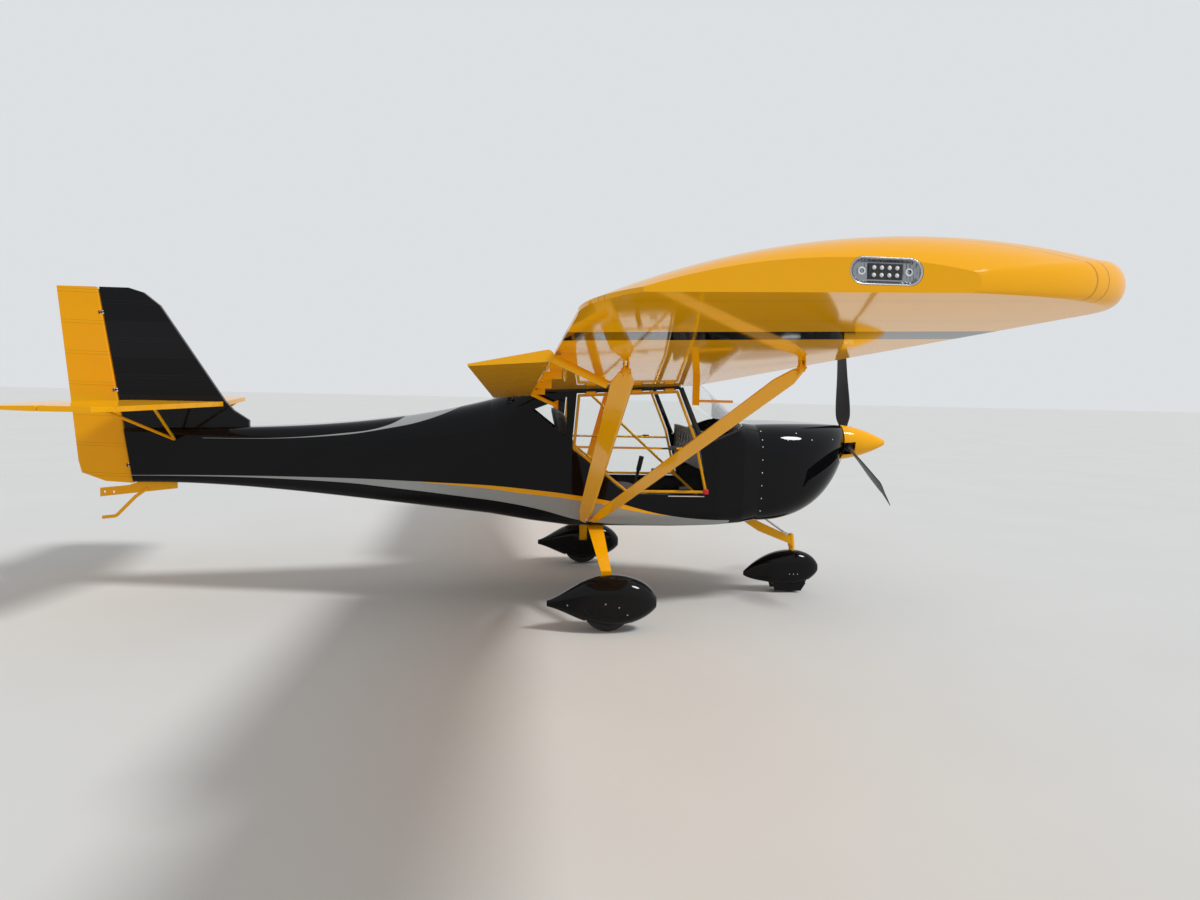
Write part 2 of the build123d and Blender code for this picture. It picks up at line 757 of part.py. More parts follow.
def make_pitot_mast():
    """The flat mast under the right wing with its forward tube."""
    x, y, low_z = pitot_mast_foot
    chord, thick, height = pitot_mast_size
    mast = Pos(x, y, low_z + height / 2) * Box(chord, thick, height) - wing_block()
    tube = Pos(x + (chord + pitot_length) / 2, y, low_z + pitot_tube_up) * Rot(0, 90, 0) * Cylinder(
        pitot_radius, pitot_length)
    save("pitot_mast", other_side(mast + tube))


def make_tail_skid():
    """The towing plate with its two holes, and the bent skid bar below it."""
    plate = side_plate(tow_plate_outline, -tow_plate_thick / 2, tow_plate_thick / 2)
    hole = Rot(90, 0, 0) * Cylinder(tow_hole_radius, 5 * tow_plate_thick)
    plate = plate - body_form(tail_sections)
    for station in tow_hole_stations:
        plate = plate - Pos(station, 0, tow_hole_z) * hole
    save("tow_plate", plate)
    path = FilletPolyline(*skid_path, radius=skid_bend_radius)
    bar = sweep(Plane(origin=path @ 0, z_dir=path % 0) * Circle(skid_radius), path=path)
    save("tail_skid", bar - plate)


def wheel_place(x, y, z):
    """Axle frame of a wheel: Z along the axle to the left."""
    return Plane(origin=(x, y, z), x_dir=(1, 0, 0), z_dir=(0, 1, 0))


def wheel_pieces(radius, width):
    """A tyre and its rim, turned about local Z."""
    rim = radius * rim_share
    half = width / 2 - tyre_side_inset
    side = Plane.XZ * make_face(Polyline((rim, -half), (radius, -half), (radius, half), (rim, half), close=True))
    tyre = revolve(side, axis=Axis.Z)
    shoulders = tyre.edges().filter_by(GeomType.CIRCLE).sort_by(SortBy.RADIUS)[-2:]
    tyre = fillet(shoulders, width * tyre_shoulder_share)
    hub = Cylinder(rim, width - hub_narrower) - Cylinder(axle_radius + wheel_running_gap, width)
    dish = Cylinder(rim - hub_rim_thick, 2 * hub_dish_depth) - Cylinder(hub_boss_radius, 2 * hub_dish_depth)
    dish = Pos(0, 0, (width - hub_narrower) / 2) * dish
    hub = hub - dish - mirror(dish, about=Plane.XY)
    return tyre, hub


def spat_shell(sections):
    """The hollow wheel fairing through a table of sections."""
    return body_form(sections) - body_form(sections, inset=spat_wall)


def make_main_gear():
    """The main wheels on their sprung legs, under their fairings."""
    leg_y = main_half_track - leg_inset
    foot_z = main_tyre_radius - leg_foot_drop
    outline = [leg_root, (leg_y - 12, leg_bend_z), (leg_y, foot_z), (leg_y + leg_thick, foot_z),
               (leg_y + leg_thick - 10, leg_bend_z + 10), leg_root_outer]
    slab = 2 * (leg_root_back + leg_top_width)
    bar = Plane(origin=(-slab / 2, 0, 0), x_dir=(0, 1, 0), z_dir=(1, 0, 0)) * extrude(
        make_face(Polyline(*outline, close=True)), slab)
    top_half = leg_top_width / 2
    low_half = leg_low_width / 2
    taper = [(-leg_root_back - top_half, 600), (-leg_root_back + top_half, 600), (low_half, leg_bend_z),
             (low_half, foot_z - 1), (-low_half, foot_z - 1), (-low_half, leg_bend_z)]
    leg = bar & side_plate(taper, 0, 1000)
    leg = leg - body_form(cabin_sections, straight=True)
    inner_wall = main_half_track - main_spat_half_width + spat_wall
    outer_wall = main_half_track + main_spat_half_width - spat_wall
    axle = cylinder_between((0, inner_wall, main_tyre_radius), (0, outer_wall, main_tyre_radius), axle_radius)
    shell = Pos(0, main_half_track, 0) * spat_shell(main_spat_sections)
    opening = Pos(0, main_half_track, 40) * Box(270, main_tyre_width + 26, 90)
    leg_slot = Pos(0, leg_y - 10, 280) * Box(leg_low_width + 12, 60, 160)
    shell = shell - opening - leg_slot
    tyre, hub = wheel_pieces(main_tyre_radius, main_tyre_width)
    place = wheel_place(0, main_half_track, main_tyre_radius)
    for side, turn in [("left", lambda shape: shape), ("right", other_side)]:
        save("main_leg_" + side, turn(leg + axle - shell))
        save("main_spat_" + side, turn(shell))
        save("main_tyre_" + side, turn(place * tyre))
        save("main_hub_" + side, turn(place * hub))


def king_pin_frame():
    """The steering axis: Z up along the raked pin."""
    tilt = radians(steering_rake)
    return Plane(origin=(steering_top[0], 0, steering_top[1]), x_dir=(cos(tilt), 0, sin(tilt)),
                 z_dir=(-sin(tilt), 0, cos(tilt)))


def make_nose_gear():
    """The forward leg, the steered fork, its fairing and its wheel."""
    pin_frame = king_pin_frame()
    beam = side_plate(nose_leg_outline, -nose_leg_width / 2, nose_leg_width / 2)
    beam = beam - body_form(cabin_sections, straight=True) - body_form(cowl_sections)
    bore = Cylinder(king_pin_radius + wheel_running_gap, steering_housing_length + 6)
    housing = pin_frame * (Cylinder(steering_housing_radius, steering_housing_length) - bore)
    beam = beam - pin_frame * Cylinder(steering_housing_radius, 400)
    save("nose_leg", beam + housing)
    crown_z = 2 * nose_tyre_radius + 10
    pin = pin_frame * (Pos(0, 0, -25) * Cylinder(king_pin_radius, 150))
    collar = pin_frame * (Pos(0, 0, -72) * Cylinder(fork_collar_radius, 48))
    crown = Pos(nose_wheel_x + 8, 0, crown_z + 5) * Box(52, nose_tyre_width + 26, 10)
    blade = Pos(nose_wheel_x + 4, nose_tyre_width / 2 + 10, (crown_z + nose_tyre_radius) / 2 - 8) * Box(
        36, fork_blade_thick, crown_z - nose_tyre_radius + 26)
    axle = cylinder_between((nose_wheel_x, -nose_spat_half_width + spat_wall, nose_tyre_radius),
                            (nose_wheel_x, nose_spat_half_width - spat_wall, nose_tyre_radius), axle_radius)
    fork = pin + collar + crown + blade + other_side(blade) + axle
    skirt_half = spat_skirt_width / 2
    skirt = side_plate(spat_skirt_outline, -skirt_half, skirt_half)
    skirt_space = side_plate(spat_skirt_hollow, -skirt_half + spat_wall, skirt_half - spat_wall)
    solid = body_form(nose_spat_sections) + skirt
    hollow = body_form(nose_spat_sections, inset=spat_wall) + skirt_space
    mouth = Pos(nose_wheel_x, 0, 50) * Box(2 * nose_tyre_radius - 4, nose_tyre_width + 30, 100)
    shell = solid - hollow - mouth - pin_frame * Cylinder(fork_collar_radius, 300)
    save("nose_spat", shell)
    save("nose_fork", fork - shell)
    tyre, hub = wheel_pieces(nose_tyre_radius, nose_tyre_width)
    place = wheel_place(nose_wheel_x, 0, nose_tyre_radius)
    save("nose_tyre", place * tyre)
    save("nose_hub", place * hub)


def blade_form():
    """One blade along Z, from its twisted sections."""
    faces = []
    for share, chord, pitch, thick in blade_sections:
        turn = radians(pitch)
        upper = ThreePointArc((-chord / 2, 0), (0, 0.7 * thick), (chord / 2, 0))
        lower = ThreePointArc((chord / 2, 0), (0, -0.3 * thick), (-chord / 2, 0))
        plane = Plane(origin=(0, 0, share * propeller_radius), x_dir=(sin(turn), cos(turn), 0), z_dir=(0, 0, 1))
        faces.append((plane * make_face([upper, lower])).face())
    return loft(faces)


def spinner_solid(inset):
    """The spinner's outer form, or the space inside it."""
    length = spinner_tip_x - spinner_back_x - inset
    radius = spinner_radius - inset
    profile = make_face([
        Line((inset, 0), (inset, radius)),
        ThreePointArc((inset, radius), (0.55 * length, 0.67 * radius), (length, spinner_tip_round)),
        Line((length, spinner_tip_round), (length, 0)),
        Line((length, 0), (inset, 0)),
    ])
    solid = revolve(profile, axis=Axis.X)
    return fillet(solid.edges().filter_by(GeomType.CIRCLE).sort_by(Axis.X)[-1:], 0.8 * spinner_tip_round)


def make_propeller():
    """Three blades on a hub with its shaft, and the spinner with a slot for each blade."""
    blade_x = spinner_back_x + hub_ahead
    root = Pos(0, 0, blade_root_middle) * Cylinder(blade_root_radius, blade_root_length)
    blade = blade_form() + root
    hub = Rot(0, 90, 0) * Cylinder(hub_radius, hub_length)
    shaft_length = blade_x - prop_shaft_end_x
    shaft = Pos(-shaft_length / 2, 0, 0) * Rot(0, 90, 0) * Cylinder(prop_shaft_radius, shaft_length)
    body = hub + shaft
    slots = []
    for number in range(blade_count):
        turn = Rot(blade_start_angle - 90 + number * 360 / blade_count, 0, 0)
        body = body + turn * blade
        slots.append(turn * (Pos(0, 0, spinner_slot_middle) * Box(*spinner_slot_size)))
    place = Pos(blade_x, 0, hub_z)
    save("propeller", place * body)
    shell = Pos(spinner_back_x - blade_x, 0, 0) * (spinner_solid(0) - spinner_solid(spinner_wall))
    for slot in slots:
        shell = shell - slot
    shell = shell - shaft
    save("spinner", place * shell)


def door_top_frame():
    """A frame on the door's sloping top edge: X forward along it, Z up."""
    run = Vector(door_top_front[0] - door_top_rear[0], 0, door_top_front[1] - door_top_rear[1])
    height = door_top_rear[1] - door_top_rear[0] * run.Z / run.X
    return Plane(origin=(0, 0, height), x_dir=run, z_dir=(-run.Z, 0, run.X))


def door_hinge_pieces():
    """The barrels on the left door's frame and the pinned lugs beside them, in the top edge's frame."""
    tube_y = cabin_half_width - door_tube_radius
    hinge_y = cabin_half_width + door_hinge_out
    barrels = []
    lugs = []
    for station in door_hinge_stations:
        middle = station + door_hinge_length / 2
        turned = Pos(middle, hinge_y, door_hinge_up) * Rot(0, 90, 0)
        tab = Box(door_hinge_length, hinge_y - tube_y, door_tab_thick)
        tab = Pos(middle, (hinge_y + tube_y) / 2, door_tab_z) * tab
        barrel = tab + turned * Cylinder(door_hinge_barrel_radius, door_hinge_length)
        barrels.append(barrel - turned * Cylinder(door_hinge_pin_radius + hinge_running_gap, door_hinge_length + 10))
        reach = door_hinge_length / 2 + door_lug_gap + door_lug_thick / 2
        lug = turned * Cylinder(door_hinge_pin_radius, 2 * reach + door_lug_thick)
        for side in (-1, 1):
            place = Pos(middle + side * reach, cabin_half_width + door_lug_width / 2, door_hinge_up + door_lug_up)
            lug = lug + place * Box(door_lug_thick, door_lug_width, door_lug_height)
        lugs.append(lug)
    return barrels, lugs


def make_doors():
    """The two gull doors: tube frame, glazing, and hinges along the sloping top edge."""
    inner_face = offset(make_face(Polyline(*door_outline, close=True)), -door_tube_radius, kind=Kind.INTERSECTION)
    tube_y = cabin_half_width - door_tube_radius
    frame = None
    for edge in inner_face.face().outer_wire().edges():
        start = edge @ 0
        end = edge @ 1
        tube = cylinder_between((start.X, tube_y, start.Y), (end.X, tube_y, end.Y), door_tube_radius)
        ball = Pos(start.X, tube_y, start.Y) * Sphere(door_tube_radius)
        frame = tube + ball if frame is None else frame + tube + ball
    rail = cylinder_between((-188, tube_y, door_rail_z), (602, tube_y, door_rail_z), door_rail_radius)
    top = door_top_frame()
    barrels, lugs = door_hinge_pieces()
    frame = frame + rail
    for barrel in barrels:
        frame = frame + top * barrel
    outline = side_prism(make_face(Polyline(*door_outline, close=True)), cabin_half_width,
                         cabin_half_width + glass_thick)
    glass = outline - top * (Pos(0, cabin_half_width, 50 - glass_top_drop) * Box(3000, 100, 100))
    hinges = [top * lug for lug in lugs]
    save("door_frame_left", frame)
    save("door_glass_left", glass)
    save("door_frame_right", other_side(frame))
    save("door_glass_right", other_side(glass))
    save("door_hinges", Compound(hinges + [other_side(hinge) for hinge in hinges]))


def make_interior():
    """Seats on their bases, instrument panel, stick and the bars of the cabin."""
    space = body_form(cabin_sections, inset=cabin_wall, straight=True)
    cushion_x, cushion_z = cushion_middle
    cushion = Pos(cushion_x, seat_y, cushion_z) * Box(cushion_size[0], seat_width, cushion_size[1])
    tilt = radians(seat_back_tilt)
    back_plane = Plane(origin=(seat_back_middle[0], seat_y, seat_back_middle[1]), x_dir=(cos(tilt), 0, sin(tilt)),
                       z_dir=(-sin(tilt), 0, cos(tilt)))
    back = back_plane * Box(seat_back_size[0], seat_width, seat_back_size[1]) - cushion
    base_z = cushion_z - (cushion_size[1] + seat_base_size[2]) / 2
    base = Pos(cushion_x, seat_y, base_z) * Box(*seat_base_size) & space
    for name, piece in [("seat_cushions", cushion), ("seat_backs", back), ("seat_bases", base)]:
        save(name, piece + other_side(piece))
    panel = Pos(panel_middle[0], 0, panel_middle[1]) * Box(panel_size[0], 2 * cabin_half_width + 80, panel_size[1])
    save("instrument_panel", panel & space)
    stick = cylinder_between(*stick_points, stick_radius) + cylinder_between(*grip_points, grip_radius)
    stick = stick + Pos(*stick_box_middle) * Box(*stick_box_size)
    save("control_stick", stick & space)
    frame = cylinder_between(centre_brace_top, centre_brace_foot, cabin_bar_radius) & space
    for x, z, radius in cabin_bars:
        frame = frame + (cylinder_between((x, -cabin_half_width, z), (x, cabin_half_width, z), radius) & space)
    save("cabin_frame", frame - back - other_side(back))


make_cowl()
make_engine()
make_cabin()
make_tail_body()
make_fin_and_rudder()
make_stabilizer_and_elevator()
make_tail_braces(stabilizer_z - stabilizer_thick / 2)
make_wings()
make_flaperons()
make_struts()
make_pitot_mast()
make_tail_skid()
make_main_gear()
make_nose_gear()
make_propeller()
make_doors()
make_interior()
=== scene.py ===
from math import cos, pi, radians, sin

import bmesh
import bpy
from mathutils import Matrix, Vector
from mathutils.bvhtree import BVHTree


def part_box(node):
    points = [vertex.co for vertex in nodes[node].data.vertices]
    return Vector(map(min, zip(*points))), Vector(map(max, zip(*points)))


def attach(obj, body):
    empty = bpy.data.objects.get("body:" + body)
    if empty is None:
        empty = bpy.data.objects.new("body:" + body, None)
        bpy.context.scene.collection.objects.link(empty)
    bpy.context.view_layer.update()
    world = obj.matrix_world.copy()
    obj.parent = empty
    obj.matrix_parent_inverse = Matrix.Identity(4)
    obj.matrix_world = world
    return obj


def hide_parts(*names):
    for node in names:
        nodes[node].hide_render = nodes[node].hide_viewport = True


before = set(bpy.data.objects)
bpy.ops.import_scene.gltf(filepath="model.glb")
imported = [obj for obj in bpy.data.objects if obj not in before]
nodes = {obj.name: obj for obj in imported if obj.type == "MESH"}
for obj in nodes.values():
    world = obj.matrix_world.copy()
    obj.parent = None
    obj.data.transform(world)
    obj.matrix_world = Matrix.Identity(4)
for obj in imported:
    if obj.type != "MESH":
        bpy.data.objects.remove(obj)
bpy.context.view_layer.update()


def middle(node):
    """The centre of a node's box."""
    low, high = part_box(node)
    return (low + high) / 2


# Places taken from the frame
axle_x = middle("main_hub_left").x
nose_axle = middle("nose_hub")
firewall_x = middle("firewall").x
propeller_z = middle("spinner").z
spinner_rear_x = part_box("spinner")[0].x
cowl_front_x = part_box("lower_cowl")[1].x
cowl_split_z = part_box("upper_cowl")[0].z
sides = (("left", 1), ("right", -1))

# Where rays that look for a surface start: beyond a wing tip and over the cabin
far_out_y = 5
high_up_z = 2.5

# The photograph's camera: place, heading, pitch and roll, and its focal length in pixels of the photo
camera_place = (0.15133, -5.95368, 1.48523)
camera_heading = 0.10039
camera_pitch = 0.08084
camera_roll = 0.0238
photo_focal_length = 859.008
photo_width = 1200
sensor_width = 36.0
camera_reach = 200

# Studio: the sun, and the surround as it lights the object and as it is seen, as colour and strength
sun_place = (6, -3, 8)
sun_strength = 1.9
sun_size = radians(12)
soft_light = ((0.93, 0.96, 1.0), 0.55)
pale_sight = ((0.84, 0.87, 0.9), 0.86)
floor_reach = 60


def at(x, y, z):
    """A point given from the main axle along X."""
    return Vector((axle_x + x, y, z))


def beside(place, sign):
    """A point given from the main axle, on the left or the right."""
    x, y, z = place
    return at(x, sign * y, z)


def screen(red, green, blue):
    """A colour as it reads on a screen, 0 to 255, for a shader, by the sRGB formula."""
    shares = [value / 255 for value in (red, green, blue)]
    return tuple(s / 12.92 if s <= 0.04045 else ((s + 0.055) / 1.055) ** 2.4 for s in shares)


def new_object(name, data):
    """An object in the scene."""
    made = bpy.data.objects.new(name, data)
    bpy.context.scene.collection.objects.link(made)
    return made


# Camera and studio

def add_camera():
    """The camera at the photograph's viewing angle."""
    level = Vector((cos(camera_heading), -sin(camera_heading), 0))
    ahead = Vector((sin(camera_heading) * cos(camera_pitch), cos(camera_heading) * cos(camera_pitch),
                    -sin(camera_pitch)))
    over = level.cross(ahead)
    right = level * cos(camera_roll) + over * sin(camera_roll)
    up = over * cos(camera_roll) - level * sin(camera_roll)
    data = bpy.data.cameras.new("camera")
    data.sensor_width = sensor_width
    data.lens = sensor_width * (photo_focal_length / photo_width)
    data.clip_end = camera_reach
    camera = new_object("camera", data)
    columns = Matrix((right, up, -ahead)).transposed()
    camera.matrix_world = Matrix.Translation(camera_place) @ columns.to_4x4()
    bpy.context.scene.camera = camera


def add_sun():
    """One soft sun aimed at the origin."""
    data = bpy.data.lights.new("key", "SUN")
    data.energy = sun_strength
    data.angle = sun_size
    sun = new_object("key", data)
    sun.location = sun_place
    sun.rotation_euler = (-Vector(sun_place)).to_track_quat("-Z", "Y").to_euler()


def add_world():
    """A pale surround that lights softly and shows pale to the camera, in gloss and through glass."""
    world = bpy.data.worlds.new("studio")
    world.use_nodes = True
    tree = world.node_tree
    tree.nodes.clear()
    path = tree.nodes.new("ShaderNodeLightPath")
    seen = path.outputs["Is Camera Ray"]
    for ray in ("Is Glossy Ray", "Is Transmission Ray"):
        either = tree.nodes.new("ShaderNodeMath")
        either.operation = "MAXIMUM"
        tree.links.new(seen, either.inputs[0])
        tree.links.new(path.outputs[ray], either.inputs[1])
        seen = either.outputs[0]
    mix = tree.nodes.new("ShaderNodeMixShader")
    tree.links.new(seen, mix.inputs[0])
    for number, (colour, strength) in enumerate((soft_light, pale_sight), start=1):
        background = tree.nodes.new("ShaderNodeBackground")
        background.inputs["Color"].default_value = (*colour, 1)
        background.inputs["Strength"].default_value = strength
        tree.links.new(background.outputs[0], mix.inputs[number])
    out = tree.nodes.new("ShaderNodeOutputWorld")
    tree.links.new(mix.outputs[0], out.inputs[0])
    bpy.context.scene.world = world


# Where a Mix node keeps its colours
mix_colour_inputs = (6, 7)
mix_colour_output = 2


class Finish:
    """A material and the small helpers that wire its nodes."""

    def __init__(self, name, colour, roughness, **sockets):
        self.material = bpy.data.materials.new(name)
        self.material.use_nodes = True
        self.tree = self.material.node_tree
        self.shader = self.tree.nodes["Principled BSDF"]
        self.shader.inputs["Base Color"].default_value = (*colour, 1)
        self.shader.inputs["Roughness"].default_value = roughness
        for socket, value in sockets.items():
            self.shader.inputs[socket.replace("_", " ")].default_value = value
        self.height = None

    def node(self, kind, *values, **settings):
        """A node with its settings, and its inputs from the first on."""
        made = self.tree.nodes.new("ShaderNode" + kind)
        for key, value in settings.items():
            setattr(made, key, value)
        for number, value in enumerate(values):
            self.feed(made.inputs[number], value)
        return made

    def feed(self, socket, value):
        """Link a socket, or set its value."""
        if isinstance(value, bpy.types.NodeSocket):
            self.tree.links.new(value, socket)
        else:
            socket.default_value = value

    def math(self, operation, first, second=0.0, third=0.0):
        """The result of a sum with up to three values."""
        return self.node("Math", first, second, third, operation=operation).outputs[0]

    def place(self):
        """The surface point as X, Y and Z in metres."""
        return self.node("SeparateXYZ", self.node("TexCoord").outputs["Object"]).outputs

    def waves(self, value, pitch, operation="SINE"):
        """A wave of a given pitch along a value, -1 to 1."""
        return self.math(operation, self.math("MULTIPLY", value, 2 * pi / pitch))

    def between(self, value, low, high, soft=0.002):
        """1 where a value lies between two others, with a thin soft edge."""
        inside = self.math("MINIMUM", self.math("SUBTRACT", value, low), self.math("SUBTRACT", high, value))
        share = self.math("DIVIDE", inside, soft)
        return self.math("MINIMUM", self.math("MAXIMUM", share, 0.0), 1.0)

    def curve(self, value, points):
        """A smooth curve through points given as (value, height), read at a value."""
        low = points[0][0]
        span = points[-1][0] - low
        share = self.math("DIVIDE", self.math("SUBTRACT", value, low), span)
        curve = self.node("FloatCurve", 1.0, share)
        line = curve.mapping.curves[0]
        top = max(height for _, height in points)
        while len(line.points) < len(points):
            line.points.new(0.5, 0.5)
        for point, (place, height) in zip(line.points, points):
            point.location = ((place - low) / span, height / top)
        curve.mapping.update()
        return self.math("MULTIPLY", curve.outputs[0], top)

    def mix(self, share, first, second):
        """A colour between two, by a share."""
        made = self.node("Mix", share, data_type="RGBA")
        for number, colour in zip(mix_colour_inputs, (first, second)):
            linked = isinstance(colour, bpy.types.NodeSocket)
            self.feed(made.inputs[number], colour if linked else (*colour, 1))
        return made.outputs[mix_colour_output]

    def noise(self, scale, detail, stretch=(1, 1, 1)):
        """Noise in metres, 0 to 1."""
        mapping = self.node("Mapping", self.node("TexCoord").outputs["Object"])
        mapping.inputs["Scale"].default_value = stretch
        noise = self.node("TexNoise")
        self.feed(noise.inputs["Vector"], mapping.outputs[0])
        noise.inputs["Scale"].default_value = scale
        noise.inputs["Detail"].default_value = detail
        return noise.outputs[0]

    def colour(self, socket):
        """Take the colour from a socket."""
        self.feed(self.shader.inputs["Base Color"], socket)

    def rough(self, cloud, low, high):
        """Let the roughness follow a 0 to 1 value from low to high."""
        self.feed(self.shader.inputs["Roughness"], self.math("MULTIPLY_ADD", cloud, high - low, low))

    def raise_by(self, value, depth):
        """Add a relief of so many metres."""
        step = self.math("MULTIPLY", value, depth)
        self.height = step if self.height is None else self.math("ADD", self.height, step)

    def done(self):
        """Close the relief and give the material."""
        if self.height is not None:
            bump = self.node("Bump")
            bump.inputs["Strength"].default_value = 1.0
            bump.inputs["Distance"].default_value = 1.0
            self.feed(bump.inputs["Height"], self.height)
            self.tree.links.new(bump.outputs[0], self.shader.inputs["Normal"])
        return self.material


# Colours
yellow = screen(250, 176, 4)
black = screen(10, 10, 13)
silver = screen(158, 160, 158)
# painted shade: a darker yellow laid in thin lines along the rib tapes' edges
tape_shade_yellow = screen(120, 84, 10)
dust_grey = screen(150, 140, 125)

# Cloth over ribs: the ribs' pitches, their tapes' sloped edges, the width and soft border of the painted
# line along each tape's edge (painted shade on yellow, a painted highlight on black), and the cloth's sag
# in heights of a tape
wing_rib_pitch = 0.3
tail_rib_pitch = 0.2
fin_rib_pitch = 0.24
tape_slope = 0.0015
painted_edge_line = 0.002
painted_edge_soft = 0.001
sag_share = 2.2

# Fine waves and clouds: gloss, dust, threads, webbing and the flutes of a lamp
fine_ripple_share = 0.01
dust_contrast = 3.0
thread_pitch = 0.004
web_row_pitch = 0.003
lamp_flute_pitch = 0.006

# The black band near each wing tip, along the span
wing_stripe = (3.79, 3.99)

# Body graphics in side view, as (X from the axle, Z): edges of the two swooshes
low_band_top = [(-3.1, 0.79), (-1.7, 0.813), (-1.12, 0.804), (-0.52, 0.787), (-0.055, 0.739),
                (0.478, 0.624), (0.84, 0.597)]
low_band_floor = [(-3.1, 0.785), (-1.7, 0.784), (-1.34, 0.757), (-0.97, 0.724), (-0.52, 0.678),
                  (0.05, 0.567), (0.84, 0.56)]
high_band_top = [(-2.6, 1.05), (-1.7, 1.101), (-1.38, 1.165), (-1.2, 1.27), (-0.9, 1.4)]
high_band_floor = [(-2.6, 1.046), (-1.7, 1.090), (-1.38, 1.143), (-1.16, 1.195), (-0.9, 1.3)]

# The yellow line in the lower swoosh: its ends, its depth, and how fast it grows and fades
pinstripe_start = -1.25
pinstripe_end = 0.46
pinstripe_depth = 0.032
pinstripe_growth = 0.045
pinstripe_fading = 0.1

# Stringers that show through the body's cloth: heights, reach and slope of each ridge
stringer_heights = (0.84, 0.99, 1.09)
stringer_reach = 0.06
stringer_slope = 0.05


def lacquer(name, colour, roughness, low, high, scale, coat, coat_roughness, coat_ior):
    """A paint whose gloss comes from its clear coat alone, and whose roughness varies in clouds."""
    finish = Finish(name, colour, roughness, Specular_IOR_Level=0.0, Coat_Weight=coat,
                    Coat_Roughness=coat_roughness, Coat_IOR=coat_ior)
    finish.rough(finish.noise(scale, detail=4), low, high)
    return finish


def gloss_ripple(finish, depth):
    """The faint waviness of a hand-finished gloss."""
    finish.raise_by(finish.noise(scale=5, detail=1), depth)
    finish.raise_by(finish.noise(scale=170, detail=2), depth * fine_ripple_share)


def dust(finish, colour, amount):
    """A colour with slightly paler patches, as on a machine kept outdoors."""
    cloud = finish.noise(scale=3.2, detail=5)
    patch = finish.math("MULTIPLY", finish.math("POWER", cloud, dust_contrast), amount)
    return finish.mix(patch, colour, dust_grey)


def rib_tapes(finish, direction, pitch, width, depth, shade):
    """Raised tapes over even ribs, with the cloth drawn in between them; gives a mask of thin lines along
    the tapes' edges, scaled by shade, where the callers paint light: painted shade on yellow, a painted
    highlight on black.
    """
    place = finish.math("PINGPONG", direction, pitch / 2)
    finish.raise_by(finish.between(place, -1.0, width / 2, tape_slope), depth)
    finish.raise_by(finish.waves(direction, pitch, "COSINE"), depth * sag_share)
    # painted light: a thin line along each tape's edge, shade on yellow cloth and highlight on black cloth
    edges = finish.between(place, width / 2 - painted_edge_line, width / 2 + tape_slope, painted_edge_soft)
    return finish.math("MULTIPLY", edges, shade)


def wing_paint():
    """Yellow cloth-covered wing with its black band near the tip, and painted shade in darker yellow along
    the rib tapes' edges.
    """
    finish = lacquer("wing_paint", yellow, 0.24, low=0.2, high=0.32, scale=6,
                     coat=0.8, coat_roughness=0.04, coat_ior=1.3)
    span = finish.math("ABSOLUTE", finish.place()["Y"])
    painted_tape_edges = rib_tapes(finish, span, wing_rib_pitch, width=0.022, depth=0.0004, shade=0.5)
    # painted shade: darker yellow along the rib tapes' edges
    base = finish.mix(painted_tape_edges, dust(finish, yellow, amount=0.1), tape_shade_yellow)
    finish.colour(finish.mix(finish.between(span, *wing_stripe), base, black))
    gloss_ripple(finish, depth=0.0008)
    return finish.done()


def tail_paint():
    """Yellow cloth-covered tail surfaces, with ribs across the rudder and fore and aft on the tailplane,
    and painted shade in darker yellow along the rib tapes' edges.
    """
    finish = lacquer("tail_paint", yellow, 0.26, low=0.2, high=0.32, scale=6,
                     coat=0.7, coat_roughness=0.05, coat_ior=1.3)
    place = finish.place()
    height = finish.math("ADD", place["Z"], finish.math("ABSOLUTE", place["Y"]))
    painted_tape_edges = rib_tapes(finish, height, tail_rib_pitch, width=0.02, depth=0.0003, shade=0.4)
    # painted shade: darker yellow along the rib tapes' edges
    finish.colour(finish.mix(painted_tape_edges, dust(finish, yellow, amount=0.1), tape_shade_yellow))
    gloss_ripple(finish, depth=0.0008)
    return finish.done()


def tube_paint():
    """Yellow enamel on struts, legs and tubes."""
    finish = lacquer("tube_paint", yellow, 0.26, low=0.22, high=0.36, scale=14,
                     coat=0.8, coat_roughness=0.06, coat_ior=1.3)
    finish.colour(dust(finish, yellow, amount=0.1))
    finish.raise_by(finish.noise(scale=240, detail=2), depth=0.00002)
    return finish.done()


def swoosh(finish, place, top_points, floor_points):
    """A painted band between two curves in side view: where it is, its top edge and its span along X."""
    x, z = place["X"], place["Z"]
    top, floor = [finish.curve(x, [(axle_x + ahead, height) for ahead, height in points])
                  for points in (top_points, floor_points)]
    span = finish.between(x, axle_x + top_points[0][0], axle_x + top_points[-1][0])
    return finish.math("MULTIPLY", finish.between(z, floor, top), span), top, span


def pinstripe(finish, place, top, span):
    """A line under a swoosh's top edge, growing from its rear end and fading at its front end."""
    behind = finish.math("SUBTRACT", place["X"], axle_x + pinstripe_start)
    ahead = finish.math("SUBTRACT", axle_x + pinstripe_end, place["X"])
    growing = finish.math("MINIMUM", finish.math("MULTIPLY", behind, pinstripe_growth), pinstripe_depth)
    depth = finish.math("MINIMUM", growing, finish.math("MULTIPLY", ahead, pinstripe_fading))
    line = finish.between(place["Z"], finish.math("SUBTRACT", top, depth), top)
    return finish.math("MULTIPLY", line, span)


